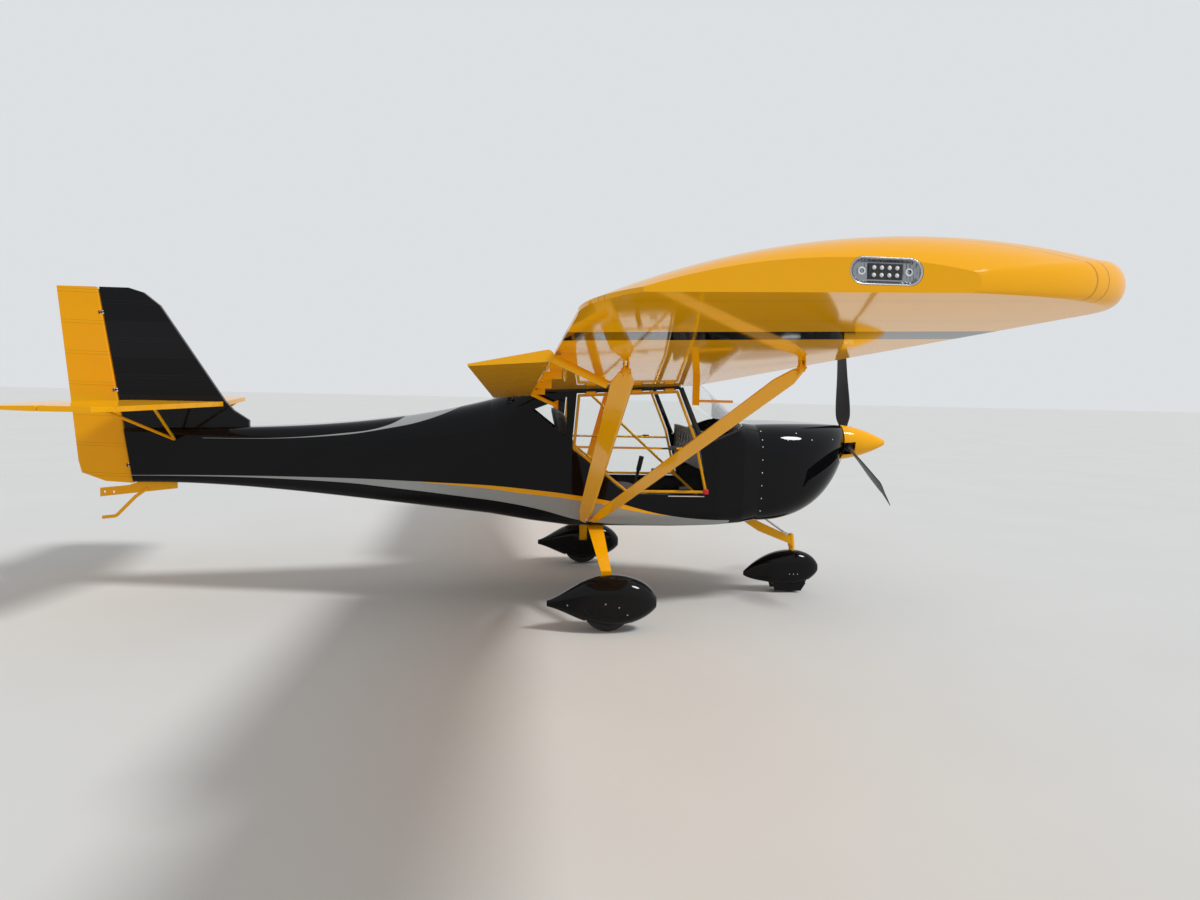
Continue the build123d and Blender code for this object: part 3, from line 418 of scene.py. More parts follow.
def body_paint():
    """Black cloth-covered body with silver swooshes and a yellow line in the lower one."""
    finish = lacquer("body_paint", black, 0.2, low=0.1, high=0.2, scale=5,
                     coat=1.0, coat_roughness=0.03, coat_ior=1.25)
    place = finish.place()
    low_band, low_top, low_span = swoosh(finish, place, low_band_top, low_band_floor)
    high_band, _, _ = swoosh(finish, place, high_band_top, high_band_floor)
    bands = finish.math("MAXIMUM", low_band, high_band)
    banded = finish.mix(bands, dust(finish, black, amount=0.01), silver)
    finish.colour(finish.mix(pinstripe(finish, place, low_top, low_span), banded, yellow))
    for height in stringer_heights:
        off_line = finish.math("ABSOLUTE", finish.math("SUBTRACT", place["Z"], height))
        ridge = finish.math("MAXIMUM", finish.math("SUBTRACT", stringer_reach, off_line), 0.0)
        finish.raise_by(ridge, stringer_slope)
    gloss_ripple(finish, depth=0.0008)
    return finish.done()


def black_gelcoat(name, dustiness):
    """Moulded black shells: cowl and fairings."""
    finish = lacquer(name, black, 0.2, low=0.08, high=0.18, scale=7,
                     coat=1.0, coat_roughness=0.025, coat_ior=1.27)
    finish.colour(dust(finish, black, dustiness))
    gloss_ripple(finish, depth=0.0007)
    return finish.done()


def fin_cloth():
    """Black cloth over the fin's level ribs, every second bay painted slightly paler as painted light on
    the cloth, and a painted highlight in paler grey along the tapes' edges.
    """
    finish = lacquer("fin_cloth", black, 0.22, low=0.18, high=0.3, scale=6,
                     coat=1.0, coat_roughness=0.05, coat_ior=1.27)
    # painted light: a paler black for the lit bays of cloth
    lit_bay_black = screen(24, 25, 30)
    # painted highlight: a paler grey along the tapes' edges on the black cloth
    tape_edge_highlight = screen(40, 40, 44)
    z = finish.place()["Z"]
    painted_tape_edges = rib_tapes(finish, z, fin_rib_pitch, width=0.02, depth=0.0004, shade=0.5)
    bays = finish.math("PINGPONG", z, fin_rib_pitch)
    # painted light: these bands of cloth are painted paler, as lit cloth
    lit_bay_share = finish.between(bays, fin_rib_pitch / 2, 2 * fin_rib_pitch)
    lit_and_shaded_black = finish.mix(finish.math("MULTIPLY", lit_bay_share, 0.5), black, lit_bay_black)
    finish.colour(finish.mix(painted_tape_edges, lit_and_shaded_black, tape_edge_highlight))
    gloss_ripple(finish, depth=0.0006)
    return finish.done()


def lamp_reflector():
    """The fluted bright inside of a lamp under its clear cover."""
    finish = Finish("lamp_reflector", screen(150, 154, 160), 0.16, Metallic=0.85, Coat_Weight=1.0,
                    Coat_Roughness=0.02)
    finish.raise_by(finish.waves(finish.place()["X"], lamp_flute_pitch), depth=0.0005)
    finish.rough(finish.noise(scale=90, detail=3), low=0.1, high=0.24)
    return finish.done()


def clear_sheet():
    """Clear polycarbonate glazing with the faintest scuffs."""
    finish = Finish("clear_glazing", (0.97, 0.98, 0.98), 0.02, Transmission_Weight=1.0, IOR=1.1)
    finish.rough(finish.noise(scale=40, detail=5, stretch=(1, 1, 6)), low=0.0, high=0.05)
    return finish.done()


def metal(name, colour, low, high, grain=(1, 1, 1)):
    """Bare or plated metal with a fine grain."""
    finish = Finish(name, colour, low, Metallic=1.0)
    cloud = finish.noise(scale=60, detail=5, stretch=grain)
    finish.rough(cloud, low, high)
    finish.raise_by(cloud, depth=0.00004)
    return finish.done()


def blade_finish():
    """Satin black composite propeller blades with a faint lay of fibres."""
    finish = Finish("blade_composite", screen(24, 24, 26), 0.36)
    lay = finish.noise(scale=160, detail=3, stretch=(1, 1, 0.15))
    finish.colour(finish.mix(lay, screen(20, 20, 22), screen(38, 38, 42)))
    finish.rough(lay, low=0.3, high=0.46)
    finish.raise_by(lay, depth=0.00003)
    return finish.done()


def tyre_rubber():
    """Tyre rubber, greyed in places."""
    finish = Finish("tyre_rubber", screen(26, 26, 26), 0.8)
    cloud = finish.noise(scale=22, detail=5)
    finish.colour(finish.mix(cloud, screen(20, 20, 20), screen(48, 45, 40)))
    finish.rough(cloud, low=0.68, high=0.92)
    finish.raise_by(finish.noise(scale=420, detail=2), depth=0.0001)
    return finish.done()


def seat_cloth():
    """Dark woven seat cloth."""
    finish = Finish("seat_cloth", screen(34, 34, 38), 0.85, Sheen_Weight=0.35, Sheen_Roughness=0.5)
    place = finish.place()
    warp = finish.waves(place["Y"], thread_pitch)
    weft = finish.waves(finish.math("ADD", place["X"], place["Z"]), thread_pitch)
    cloud = finish.noise(scale=12, detail=4)
    finish.colour(finish.mix(cloud, screen(26, 26, 30), screen(48, 47, 50)))
    finish.raise_by(finish.math("MULTIPLY", warp, weft), depth=0.0003)
    finish.raise_by(cloud, depth=0.0015)
    return finish.done()


def satin_plastic(name, colour):
    """Moulded plastic with a fine leather grain."""
    finish = Finish(name, colour, 0.5)
    finish.colour(dust(finish, colour, amount=0.12))
    finish.rough(finish.noise(scale=20, detail=3), low=0.42, high=0.62)
    finish.raise_by(finish.noise(scale=500, detail=2), depth=0.00012)
    return finish.done()


def web_strap():
    """Woven black harness webbing."""
    finish = Finish("harness_web", screen(20, 20, 22), 0.75)
    place = finish.place()
    rows = finish.waves(finish.math("ADD", place["Z"], place["X"]), web_row_pitch)
    finish.raise_by(rows, depth=0.0003)
    finish.colour(finish.mix(finish.noise(scale=60, detail=3), screen(16, 16, 18), screen(38, 38, 40)))
    return finish.done()


# Building blocks for the added pieces

def object_from(name, form, material):
    """A finished bmesh as an object."""
    mesh = bpy.data.meshes.new(name)
    form.to_mesh(mesh)
    form.free()
    mesh.materials.append(material)
    return new_object(name, mesh)


def add_piece(name, form, material, smooth=False, body="airframe"):
    """A finished bmesh as an object that rides on a body."""
    bmesh.ops.recalc_face_normals(form, faces=form.faces)
    piece = object_from(name, form, material)
    if smooth:
        piece.data.shade_smooth()
    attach(piece, body)
    return piece


def facing(place, direction):
    """The matrix that moves to a place and turns Z to a direction."""
    turn = Vector(direction).to_track_quat("Z", "Y").to_matrix().to_4x4()
    return Matrix.Translation(place) @ turn


def moved(*place):
    """The matrix that moves by some metres along X, Y and Z."""
    return Matrix.Translation(place)


def round_angles(steps):
    """Evenly spaced angles round a circle."""
    return [2 * pi * k / steps for k in range(steps)]


def add_circle(form, matrix, radius, height, steps):
    """A ring of points about local Z, or one point where the radius is 0."""
    angles = round_angles(steps) if radius else [0]
    return [form.verts.new(matrix @ Vector((radius * cos(a), radius * sin(a), height))) for a in angles]


def skin(form, rows, capped=False):
    """Faces between neighbouring rings, where a ring may be one point, and caps on the end rings."""
    for low, high in zip(rows, rows[1:]):
        count = max(len(low), len(high))
        for k in range(count):
            following = (k + 1) % count
            corners = (low[k % len(low)], low[following % len(low)],
                       high[following % len(high)], high[k % len(high)])
            form.faces.new(list(dict.fromkeys(corners)))
    if capped:
        form.faces.new(rows[0])
        form.faces.new(rows[-1])


def add_ring(form, matrix, profile, steps=24, closed=False):
    """A turned form about local Z from (radius, height) points, whose last ring may join its first."""
    rows = [add_circle(form, matrix, radius, height, steps) for radius, height in profile]
    skin(form, rows + rows[:1] if closed else rows)


def add_block(form, matrix, block):
    """A block with rounded edges, given by its sizes along X, Y and Z and its bevel."""
    *size, bevel = block
    made = bmesh.ops.create_cube(form, size=1.0, matrix=matrix @ Matrix.Diagonal((*size, 1)))
    edges = list(dict.fromkeys(edge for vert in made["verts"] for edge in vert.link_edges))
    bmesh.ops.bevel(form, geom=edges, offset=bevel, segments=2, profile=0.6, affect="EDGES")


def add_block_piece(name, matrix, block, material, smooth=False, body="airframe"):
    """One block with rounded edges as a piece."""
    form = bmesh.new()
    add_block(form, matrix, block)
    add_piece(name, form, material, smooth, body)


def with_runs(points):
    """Each point of a line with the way from the point before it to the one after it."""
    points = [Vector(point) for point in points]
    last = len(points) - 1
    return [(point, points[min(k + 1, last)] - points[max(k - 1, 0)]) for k, point in enumerate(points)]


def add_tube(form, points, radius, steps=10):
    """A round bar through points, closed at its ends."""
    rows = [add_circle(form, facing(point, run), radius, 0, steps) for point, run in with_runs(points)]
    skin(form, rows, capped=True)


def add_strap(form, points, side, width, thick):
    """A flat strap through points, its width along one direction."""
    side = Vector(side).normalized()
    rows = []
    for point, run in with_runs(points):
        out = run.cross(side).normalized() * thick / 2
        half = side * width / 2
        rows.append([form.verts.new(point + corner)
                     for corner in (half + out, half - out, -half - out, -half + out)])
    skin(form, rows, capped=True)


surfaces = {}


def on_surface(node, start, direction):
    """Where a ray meets a node or an added piece, and the outward direction there."""
    if node not in surfaces:
        source = nodes[node] if node in nodes else bpy.data.objects[node]
        form = bmesh.new()
        form.from_mesh(source.data)
        surfaces[node] = BVHTree.FromBMesh(form)
        form.free()
    place, normal, _, _ = surfaces[node].ray_cast(Vector(start), Vector(direction))
    if place is None:
        return None
    if normal.dot(Vector(direction)) > 0:
        normal = -normal
    return place, normal


screw_profile = [(0, 0.0022), (0.0022, 0.0021), (0.0046, 0.0012), (0.0055, 0), (0.0055, -0.002)]


def side_hit(node, x, z, sign):
    """Where a level ray from far out on one side meets a node."""
    return on_surface(node, (x, sign * far_out_y, z), (0, -sign, 0))


def top_hit(node, x, y):
    """Where a plumb ray from high above meets a node."""
    return on_surface(node, (x, y, high_up_z), (0, 0, -1))


def screws(name, node, places, sign, scale, body="airframe"):
    """Small domed steel fasteners on a node's side, at some (X, Z)."""
    form = bmesh.new()
    for x, z in places:
        hit = side_hit(node, x, z, sign)
        if hit:
            add_ring(form, facing(*hit) @ Matrix.Scale(scale, 4), screw_profile, steps=12)
    add_piece(name, form, steel, smooth=True, body=body)


def both(*names):
    """The names of nodes that come as a left and a right one."""
    return [name + "_" + side for name in names for side, _ in sides]


def dress(material, *names):
    """Give CAD nodes their finish."""
    for name in names:
        slots = nodes[name].material_slots
        if not slots:
            nodes[name].data.materials.append(material)
        for slot in slots:
            slot.material = material


# Finishes that added pieces share
shell_black = black_gelcoat("shell_gelcoat", 0.01)
reflector = lamp_reflector()
steel = metal("bright_steel", screen(190, 190, 192), 0.18, 0.36)
dark_metal = metal("blackened_steel", screen(48, 48, 52), 0.25, 0.45)
blade_black = blade_finish()
rubber = tyre_rubber()
cloth = seat_cloth()
dark_plastic = satin_plastic("dark_plastic", screen(30, 30, 33))
grey_plastic = satin_plastic("grey_plastic", screen(70, 71, 74))
red_plastic = satin_plastic("red_plastic", screen(200, 20, 22))
pale_plastic = satin_plastic("pale_plastic", screen(214, 214, 208))
mark_white = satin_plastic("mark_white", screen(225, 225, 220))
emitter_glass = satin_plastic("emitter_glass", screen(236, 238, 240))
webbing = web_strap()

# Finishes on the frame's own pieces
dress(wing_paint(), *both("wing", "flaperon"))
dress(tail_paint(), "rudder", "stabilizer", *both("elevator"))
dress(tube_paint(), *both("front_strut", "rear_strut", "main_leg", "door_frame"), "nose_leg", "nose_fork",
      "flaperon_brackets", "tail_braces", "tow_plate", "tail_skid", "cabin_frame", "pitot_mast",
      "elevator_torque_tube", "spinner", "strut_fittings")
dress(body_paint(), "rear_fuselage", "rear_cabin_shell", "cabin_tub", "scuttle_panel")
dress(shell_black, "upper_cowl", "lower_cowl")
dress(fin_cloth(), "fin")
dress(black_gelcoat("fairing_gelcoat", 0.05), "nose_spat", *both("main_spat"))
dress(clear_sheet(), "windscreen", "roof_glass", "rear_windows", *both("door_glass"))
dress(metal("brushed_aluminium", screen(196, 198, 200), 0.28, 0.5, grain=(1, 12, 1)),
      "firewall", "nose_hub", *both("main_hub"))
dress(dark_metal, "door_hinges")
dress(metal("engine_casting", screen(96, 97, 100), 0.4, 0.62), "engine_block")
dress(blade_black, "propeller")
dress(rubber, "nose_tyre", *both("main_tyre"))
dress(dark_plastic, "instrument_panel", "control_stick")
dress(grey_plastic, "seat_bases")


# Cowl studs: a row up the firewall edge, and others as (ahead of the firewall, over the cowl's split)
stud_ahead = 0.02
stud_foot_z = 0.65
stud_pitch = 0.085
stud_count = 6
upper_studs = ((0.02, 0.02), (0.02, 0.075), (0.20, 0.02), (0.38, 0.02), (0.56, 0.02), (0.27, 0.065))
stud_scale = 0.9


def cowl_fasteners():
    """Quarter-turn studs up the firewall edge and along the split of the cowl."""
    low = [(firewall_x + stud_ahead, stud_foot_z + stud_pitch * k) for k in range(stud_count)]
    top = [(firewall_x + ahead, cowl_split_z + up) for ahead, up in upper_studs]
    for side, sign in sides:
        screws("low_cowl_studs_" + side, "lower_cowl", low, sign, stud_scale)
        screws("top_cowl_studs_" + side, "upper_cowl", top, sign, stud_scale)


# Air inlet panels: ends as (behind the cowl's front, off the middle), rails and posts as (place, size)
inlet_rear = (0.1, 0.245)
inlet_front = (0.008, 0.125)
inlet_z = 1.01
inlet_rails = ((-0.031, 0.042), (0.042, 0.02))
inlet_posts = ((-0.056, 0.04), (0.048, 0.056))
inlet_slot_up = 0.011
inlet_slot_height = 0.044
inlet_sheet = 0.004
inlet_bevel = 0.0015
duct_screen_inset = 0.012
duct_screen_along = -0.006
duct_screen = (0.08, 0.002, 0.056, 0.0008)


def inlet_panels():
    """A dark panel just inside each air inlet, with the grey screen of its duct behind a slot."""
    for side, sign in sides:
        rear, front = [Vector((cowl_front_x - behind, sign * off, inlet_z))
                       for behind, off in (inlet_rear, inlet_front)]
        run = front - rear
        turn = run.to_track_quat("X", "Z").to_matrix().to_4x4()
        place = Matrix.Translation((rear + front) / 2) @ turn
        rails = [(0, up, run.length, height) for up, height in inlet_rails]
        posts = [(along, inlet_slot_up, length, inlet_slot_height) for along, length in inlet_posts]
        panel = bmesh.new()
        for along, up, length, height in rails + posts:
            add_block(panel, place @ moved(along, 0, up), (length, inlet_sheet, height, inlet_bevel))
        add_piece("inlet_panel_" + side, panel, shell_black)
        behind = place @ moved(duct_screen_along, -sign * duct_screen_inset, inlet_slot_up)
        add_block_piece("inlet_screen_" + side, behind, duct_screen, grey_plastic)


# Screws of the wheel fairings: main ones as (ahead of the axle, height), nose ones ahead of their axle
main_spat_screws = ((-0.24, 0.165), (-0.02, 0.185), (0.06, 0.165), (0.11, 0.12))
main_screw_scale = 0.8
nose_spat_screws = (-0.03, 0.0, 0.03)
nose_screw_rise = 0.01
nose_screw_scale = 0.7


def spat_fasteners():
    """The small screws that hold the wheel fairings."""
    main = [(axle_x + ahead, z) for ahead, z in main_spat_screws]
    nose = [(nose_axle.x + ahead, nose_axle.z + nose_screw_rise) for ahead in nose_spat_screws]
    for side, sign in sides:
        screws("spat_screws_" + side, "main_spat_" + side, main, sign, main_screw_scale)
        screws("nose_spat_screws_" + side, "nose_spat", nose, sign, nose_screw_scale, body="nose_fork")


# A stuffed cushion, -1 to 1 both ways: its grid, rounded edge, dome, and seams as (depth, half width)
pad_steps = 40
pad_rim = 0.99
pad_draw = 0.02
edge_power = 7
edge_rounding = 0.34
edge_height = 0.32
edge_rise = 0.18
pad_dome = 0.5
cross_seam = (0.011, 0.035)
long_seam = (0.008, 0.03)
long_seams = (-0.62, 0.62)


def double_grid(form):
    """Two square grids joined round their rim; gives each upper point with the one below it."""
    top = bmesh.ops.create_grid(form, x_segments=pad_steps, y_segments=pad_steps, size=0.5)["verts"]
    low = {vert: form.verts.new(vert.co) for vert in top}
    for face in list(form.faces):
        form.faces.new([low[vert] for vert in reversed(face.verts)])
    rim = [edge for edge in form.edges if edge.is_boundary and all(vert in low for vert in edge.verts)]
    for edge in rim:
        first, second = edge.verts
        form.faces.new((first, second, low[second], low[first]))
    return low


def seam_depth(value, places, seam):
    """How deep sewn seams at some places cut in at a value."""
    depth, half_width = seam
    return sum(depth * max(0.0, 1 - abs(value - place) / half_width) ** 2 for place in places)


def edge_share(value):
    """1 over most of a cushion, falling to 0 at its edge."""
    return max(0.0, 1 - abs(value) ** edge_power) ** edge_rounding


def pad(name, matrix, size, crown, cross_seams):
    """A stuffed cushion: crowned, drawn in between its corners, with seams along and across its face."""
    length, width, depth = size
    form = bmesh.new()
    for vert, under in double_grid(form).items():
        u, v = 2 * vert.co.x, 2 * vert.co.y
        draw = 1 - pad_draw * ((1 - u * u) * (abs(v) > pad_rim) + (1 - v * v) * (abs(u) > pad_rim))
        edge = edge_share(u) * edge_share(v)
        dome = (1 - pad_dome * u * u) * (1 - pad_dome * v * v)
        seam = seam_depth(u, cross_seams, cross_seam) + seam_depth(v, long_seams, long_seam)
        x, y = u * length / 2 * draw, v * width / 2 * draw
        stuffing = depth * (edge_height + (1 - edge_height) * edge)
        vert.co = Vector((x, y, stuffing - crown * (1 - dome) - seam * edge))
        under.co = Vector((x, y, edge_rise * depth * (1 - edge)))
    form.transform(matrix)
    return add_piece(name, form, cloth, smooth=True)


# Seats: the pads' width and places, sizes, crowns and seams across them, and the tilt of the back
seat_width = 0.44
seat_middle_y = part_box("seat_cushions")[1].y - seat_width / 2
seat_lift = 0.002
seat_crown = 0.02
seat_seams = (-0.35, 0.3)
back_ahead = 0.035
back_length = 0.56
back_depth = 0.068
back_crown = 0.014
back_seams = (-0.4, 0.1, 0.55)
back_tilt = radians(14)


def seat_pads():
    """The stuffed seat and back cushions."""
    low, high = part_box("seat_cushions")
    back_low, back_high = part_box("seat_backs")
    slant = Matrix.Rotation(radians(90) - back_tilt, 4, "Y")
    for side, sign in sides:
        centre_y = sign * seat_middle_y
        size = (high.x - low.x, seat_width, high.z - low.z)
        place = moved((low.x + high.x) / 2, centre_y, low.z + seat_lift)
        seat = pad("seat_pad_" + side, place, size, seat_crown, seat_seams)
        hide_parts("seat_cushions")
        place = moved(back_low.x + back_ahead, centre_y, (back_low.z + back_high.z) / 2) @ slant
        back = pad("back_pad_" + side, place, (back_length, seat_width, back_depth), back_crown, back_seams)
        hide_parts("seat_backs")


# Harness, and the rays that find its lines: first place off a seat's middle, step, number and direction
strap_width = 0.044
strap_thick = 0.002
strap_lift = 0.003
shoulder_rays = ((0.6, 0.09, 1.27), (0, -0.004, -0.035), 14, (-1, 0, 0))
lap_rays = ((-0.06, 0.2, 1.2), (0.02, -0.021, 0), 9, (0, 0, -1))
buckle_x = 0.12
buckle_lift = 0.008
buckle = (0.05, 0.036, 0.012, 0.003)


def strap_line(pad_name, centre_y, way, start, step, count, direction):
    """Points just off a pad, where rays from even steps on one side of its middle meet it."""
    line = []
    for k in range(count):
        x, off, z = [first + by * k for first, by in zip(start, step)]
        hit = on_surface(pad_name, at(x, centre_y + way * off, z), direction)
        if hit:
            line.append(hit[0] + hit[1] * strap_lift)
    return line


def harness():
    """Lap and shoulder straps with their buckles, lying on the seats."""
    webs = bmesh.new()
    buckles = bmesh.new()
    for side, sign in sides:
        centre_y = sign * seat_middle_y
        for way in (-1, 1):
            line = strap_line("back_pad_" + side, centre_y, way, *shoulder_rays)
            add_strap(webs, line, (0, 1, 0), strap_width, strap_thick)
            line = strap_line("seat_pad_" + side, centre_y, way, *lap_rays)
            across = (line[-1] - line[0]).cross(Vector((0, 0, 1)))
            add_strap(webs, line, across, strap_width, strap_thick)
        place, normal = top_hit("seat_pad_" + side, axle_x + buckle_x, centre_y)
        add_block(buckles, facing(place + normal * buckle_lift, normal), buckle)
    add_piece("harness_straps", webs, webbing)
    add_piece("harness_buckles", buckles, steel)


# Tip lamps: rings as (offset outward, lift off the tip's face), the board, and the emitters on it
lamp_end_steps = 12
lamp_face_inset = 0.001
lamp_depth = 0.007
bezel_rings = ((-0.0003, -0.006), (-0.0003, -0.0004), (-0.0012, -0.0001), (-0.0028, -0.0006),
               (-0.0042, -0.006))
tray_rings = ((-0.0005, -0.03), (-0.0005, -0.005), (-0.0042, -0.003), (-0.0075, -lamp_depth))
lamp_board = (0.058, 0.026, 0.003, 0.001)
emitter_columns = 4
emitter_pitch = 0.013
emitter_off = 0.006
emitter_lift = 0.0014
emitter_profile = [(0, 0.0026), (0.0026, 0.0018), (0.0036, 0), (0.0036, -0.001)]
end_ring_along = 0.04
end_ring_profile = [(0.004, 0.0015), (0.0055, 0.002), (0.007, 0), (0.0055, -0.002)]


def lamp_outline(sign):
    """Points on the tip's face round a lamp, each with its outward direction."""
    low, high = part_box("tip_lamps")
    radius = (high.z - low.z) / 2
    reach = (high.x - low.x) / 2 - radius
    outline = []
    for end in (1, -1):
        for k in range(lamp_end_steps + 1):
            angle = pi * k / lamp_end_steps - end * pi / 2
            out = Vector((cos(angle), 0, sin(angle)))
            spot = middle("tip_lamps") + Vector((end * reach, 0, 0)) + out * radius
            look = spot - out * lamp_face_inset
            spot.y = side_hit("tip_lamps", look.x, look.z, sign)[0].y
            outline.append((spot, out))
    return outline


def lamp_form(outline, sign, rings, capped=False):
    """A form of rings round a lamp."""
    form = bmesh.new()
    rows = [[form.verts.new(spot + out * offset + Vector((0, sign * lift, 0))) for spot, out in outline]
            for offset, lift in rings]
    skin(form, rows, capped)
    return form


def lamp_emitters(board):
    """Two rows of emitters on a lamp's board, and a ring beyond each end of it."""
    form = bmesh.new()
    for row in (-1, 1):
        for column in range(emitter_columns):
            along = emitter_pitch * (column - (emitter_columns - 1) / 2)
            place = board @ moved(along, row * emitter_off, emitter_lift)
            add_ring(form, place, emitter_profile, steps=12)
    for end in (-1, 1):
        add_ring(form, board @ moved(end * end_ring_along, 0, 0), end_ring_profile, steps=16, closed=True)
    return form


def tip_lamp_parts():
    """Each tip lamp: a bright tray let into the tip, its chrome bezel, dark board and emitters."""
    centre = middle("tip_lamps")
    for side, sign in sides:
        outline = lamp_outline(sign)
        add_piece("lamp_bezel_" + side, lamp_form(outline, sign, bezel_rings), steel, smooth=True)
        tray = lamp_form(outline, sign, tray_rings, capped=True)
        piece = add_piece("lamp_tray_" + side, tray, reflector)
        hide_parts("tip_lamps")
        place, normal = side_hit("tip_lamps", centre.x, centre.z, sign)
        level = (Vector((1, 0, 0)) - normal * normal.x).normalized()
        axes = Matrix((level, normal.cross(level).normalized(), normal)).transposed().to_4x4()
        board = Matrix.Translation(place - normal * lamp_depth) @ axes
        add_block_piece("lamp_board_" + side, board, lamp_board, dark_plastic)
        add_piece("lamp_emitters_" + side, lamp_emitters(board), emitter_glass, smooth=True)


# Propeller blades: share of the radius, chord, pitch in degrees, thickness, and forward rake of the tip
blade_rows = [
    (0.11, 0.052, 58, 0.036, 0),
    (0.15, 0.066, 54, 0.03, 0),
    (0.22, 0.106, 46, 0.022, 0),
    (0.35, 0.114, 36, 0.016, 0),
    (0.55, 0.1, 26, 0.012, 0),
    (0.75, 0.09, 20, 0.009, 0),
    (0.84, 0.078, 17, 0.008, 0),
    (0.9, 0.044, 16, 0.006, 0.022),
    (0.95, 0.027, 15, 0.005, 0.036),
    (1.0, 0.01, 14, 0.003, 0.05),
]
blade_count = 3
blade_radius = 0.856
blade_lean = -9.8
blade_steps = 4
blade_points = 24
front_bulge = 0.7
rear_bulge = 0.3

# The propeller's hub: its place, the socket of each blade, and the hub with its shaft as turned profiles
hub_ahead = 0.04
socket_profile = [(0, 0.03), (0.03, 0.03), (0.03, 0.1), (0.026, 0.104), (0, 0.104)]
hub_profile = [(0, -0.186), (0.025, -0.186), (0.025, -0.045), (0.117, -0.037), (0.117, -0.033),
               (0.09, -0.03), (0.09, 0.03), (0.045, 0.045), (0, 0.045)]


def smooth_rows(rows, steps):
    """More rows between the given ones, on a smooth curve through them."""
    made = []
    for number in range(len(rows) - 1):
        before = rows[max(number - 1, 0)]
        first, second = rows[number], rows[number + 1]
        after = rows[min(number + 2, len(rows) - 1)]
        for k in range(steps):
            t = k / steps
            made.append([0.5 * (2 * b + (c - a) * t + (2 * a - 5 * b + 4 * c - d) * t ** 2
                                + (3 * b - a - 3 * c + d) * t ** 3)
                         for a, b, c, d in zip(before, first, second, after)])
    made.append(list(rows[-1]))
    return made


def add_blade(form, matrix):
    """One twisted blade along local Z."""
    loops = []
    for share, chord, pitch, thick, rake in smooth_rows(blade_rows, blade_steps):
        leading = Vector((sin(radians(pitch)), -cos(radians(pitch)), 0))
        front = Vector((cos(radians(pitch)), sin(radians(pitch)), 0))
        loop = []
        for angle in round_angles(blade_points):
            bulge = sin(angle) * (front_bulge if sin(angle) > 0 else rear_bulge)
            place = leading * (cos(angle) * chord / 2 + rake) + front * bulge * thick
            place.z = share * blade_radius
            loop.append(form.verts.new(matrix @ place))
        loops.append(loop)
    skin(form, loops, capped=True)


def propeller_parts():
    """Three blades that pull when the propeller turns clockwise seen from the cabin, and their hub."""
    hub = (spinner_rear_x + hub_ahead, 0, propeller_z)
    blades = bmesh.new()
    metalwork = bmesh.new()
    for number in range(blade_count):
        turn = moved(*hub) @ Matrix.Rotation(radians(blade_lean + 360 * number / blade_count), 4, "X")
        add_blade(blades, turn)
        add_ring(metalwork, turn, socket_profile)
    add_ring(metalwork, facing(hub, (1, 0, 0)), hub_profile, steps=40)
    piece = add_piece("propeller_blades", blades, blade_black, smooth=True, body="propeller")
    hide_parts("propeller")
    piece = add_piece("propeller_hub", metalwork, dark_metal, body="propeller")
    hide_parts("propeller")


# Dials: rows below the panel's top edge, columns from the left, ticks and pointers
dial_drops = (0.07, 0.165)
dial_left_y = 0.42
dial_pitch = 0.1
dial_columns = 5
dial_profile = [(0.030, -0.002), (0.033, 0.004), (0.041, 0.004), (0.043, -0.002)]
tick_count = 12
tick_radius = 0.025
tick_lift = 0.0012
tick_block = (0.001, 0.0016, 0.006, 0.0002)
pointer_turn = radians(25)
pointer_rise = 0.008
pointer_lift = 0.0022
pointer_block = (0.001, 0.002, 0.022, 0.0003)


def add_dial_marks(form, place, turn):
    """The ticks and the pointer on one dial's face."""
    for angle in round_angles(tick_count):
        spot = place @ moved(-tick_lift, tick_radius * sin(angle), tick_radius * cos(angle))
        add_block(form, spot @ Matrix.Rotation(-angle, 4, "X"), tick_block)
    pointer = place @ moved(-pointer_lift, 0, pointer_rise) @ Matrix.Rotation(turn, 4, "X")
    add_block(form, pointer, pointer_block)


def instruments():
    """Two rows of round dials with plain ticks and pointers on the panel."""
    low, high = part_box("instrument_panel")
    bezels = bmesh.new()
    marks = bmesh.new()
    for row, drop in enumerate(dial_drops):
        for column in range(dial_columns):
            place = (low.x, dial_left_y - dial_pitch * column, high.z - drop)
            add_ring(bezels, facing(place, (-1, 0, 0)), dial_profile, steps=32, closed=True)
            add_dial_marks(marks, moved(*place), pointer_turn * row)
    add_piece("dial_bezels", bezels, grey_plastic, smooth=True)
    add_piece("dial_marks", marks, mark_white)


# Door fittings on the left side, where the latch's height is over the frame's lower edge
cap_inset = 0.012
cap_y = 0.56
cap_block = (0.032, 0.034, 0.032, 0.005)
handle_place = (0.44, 0.569, 1.066)
handle_block = (0.05, 0.01, 0.026, 0.004)
lever_points = ((0.43, 0.572, 1.066), (0.43, 0.584, 1.066), (0.37, 0.586, 1.064))
lever_radius = 0.005
latch_place = (0.52, 0.566, 0.034)
latch_block = (0.06, 0.014, 0.02, 0.004)
strip_place = (0.54, 0.5605, 0.756)
strip_block = (0.236, 0.005, 0.006, 0.0012)


def door_fittings():
    """The red corner cap, handle and latch of each door, and the pale strip on its sill."""
    for side, sign in sides:
        body = "door_" + side
        low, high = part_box("door_frame_" + side)
        corner = moved(high.x - cap_inset, sign * cap_y, low.z + cap_inset)
        add_block_piece("door_corner_cap_" + side, corner, cap_block, red_plastic, smooth=True, body=body)
        handle = bmesh.new()
        add_block(handle, moved(*beside(handle_place, sign)), handle_block)
        add_tube(handle, [beside(point, sign) for point in lever_points], lever_radius)
        latch = moved(0, 0, low.z) @ moved(*beside(latch_place, sign))
        add_block(handle, latch, latch_block)
        add_piece("door_handle_" + side, handle, dark_plastic, smooth=True, body=body)
        add_block_piece("sill_strip_" + side, moved(*beside(strip_place, sign)), strip_block, pale_plastic)


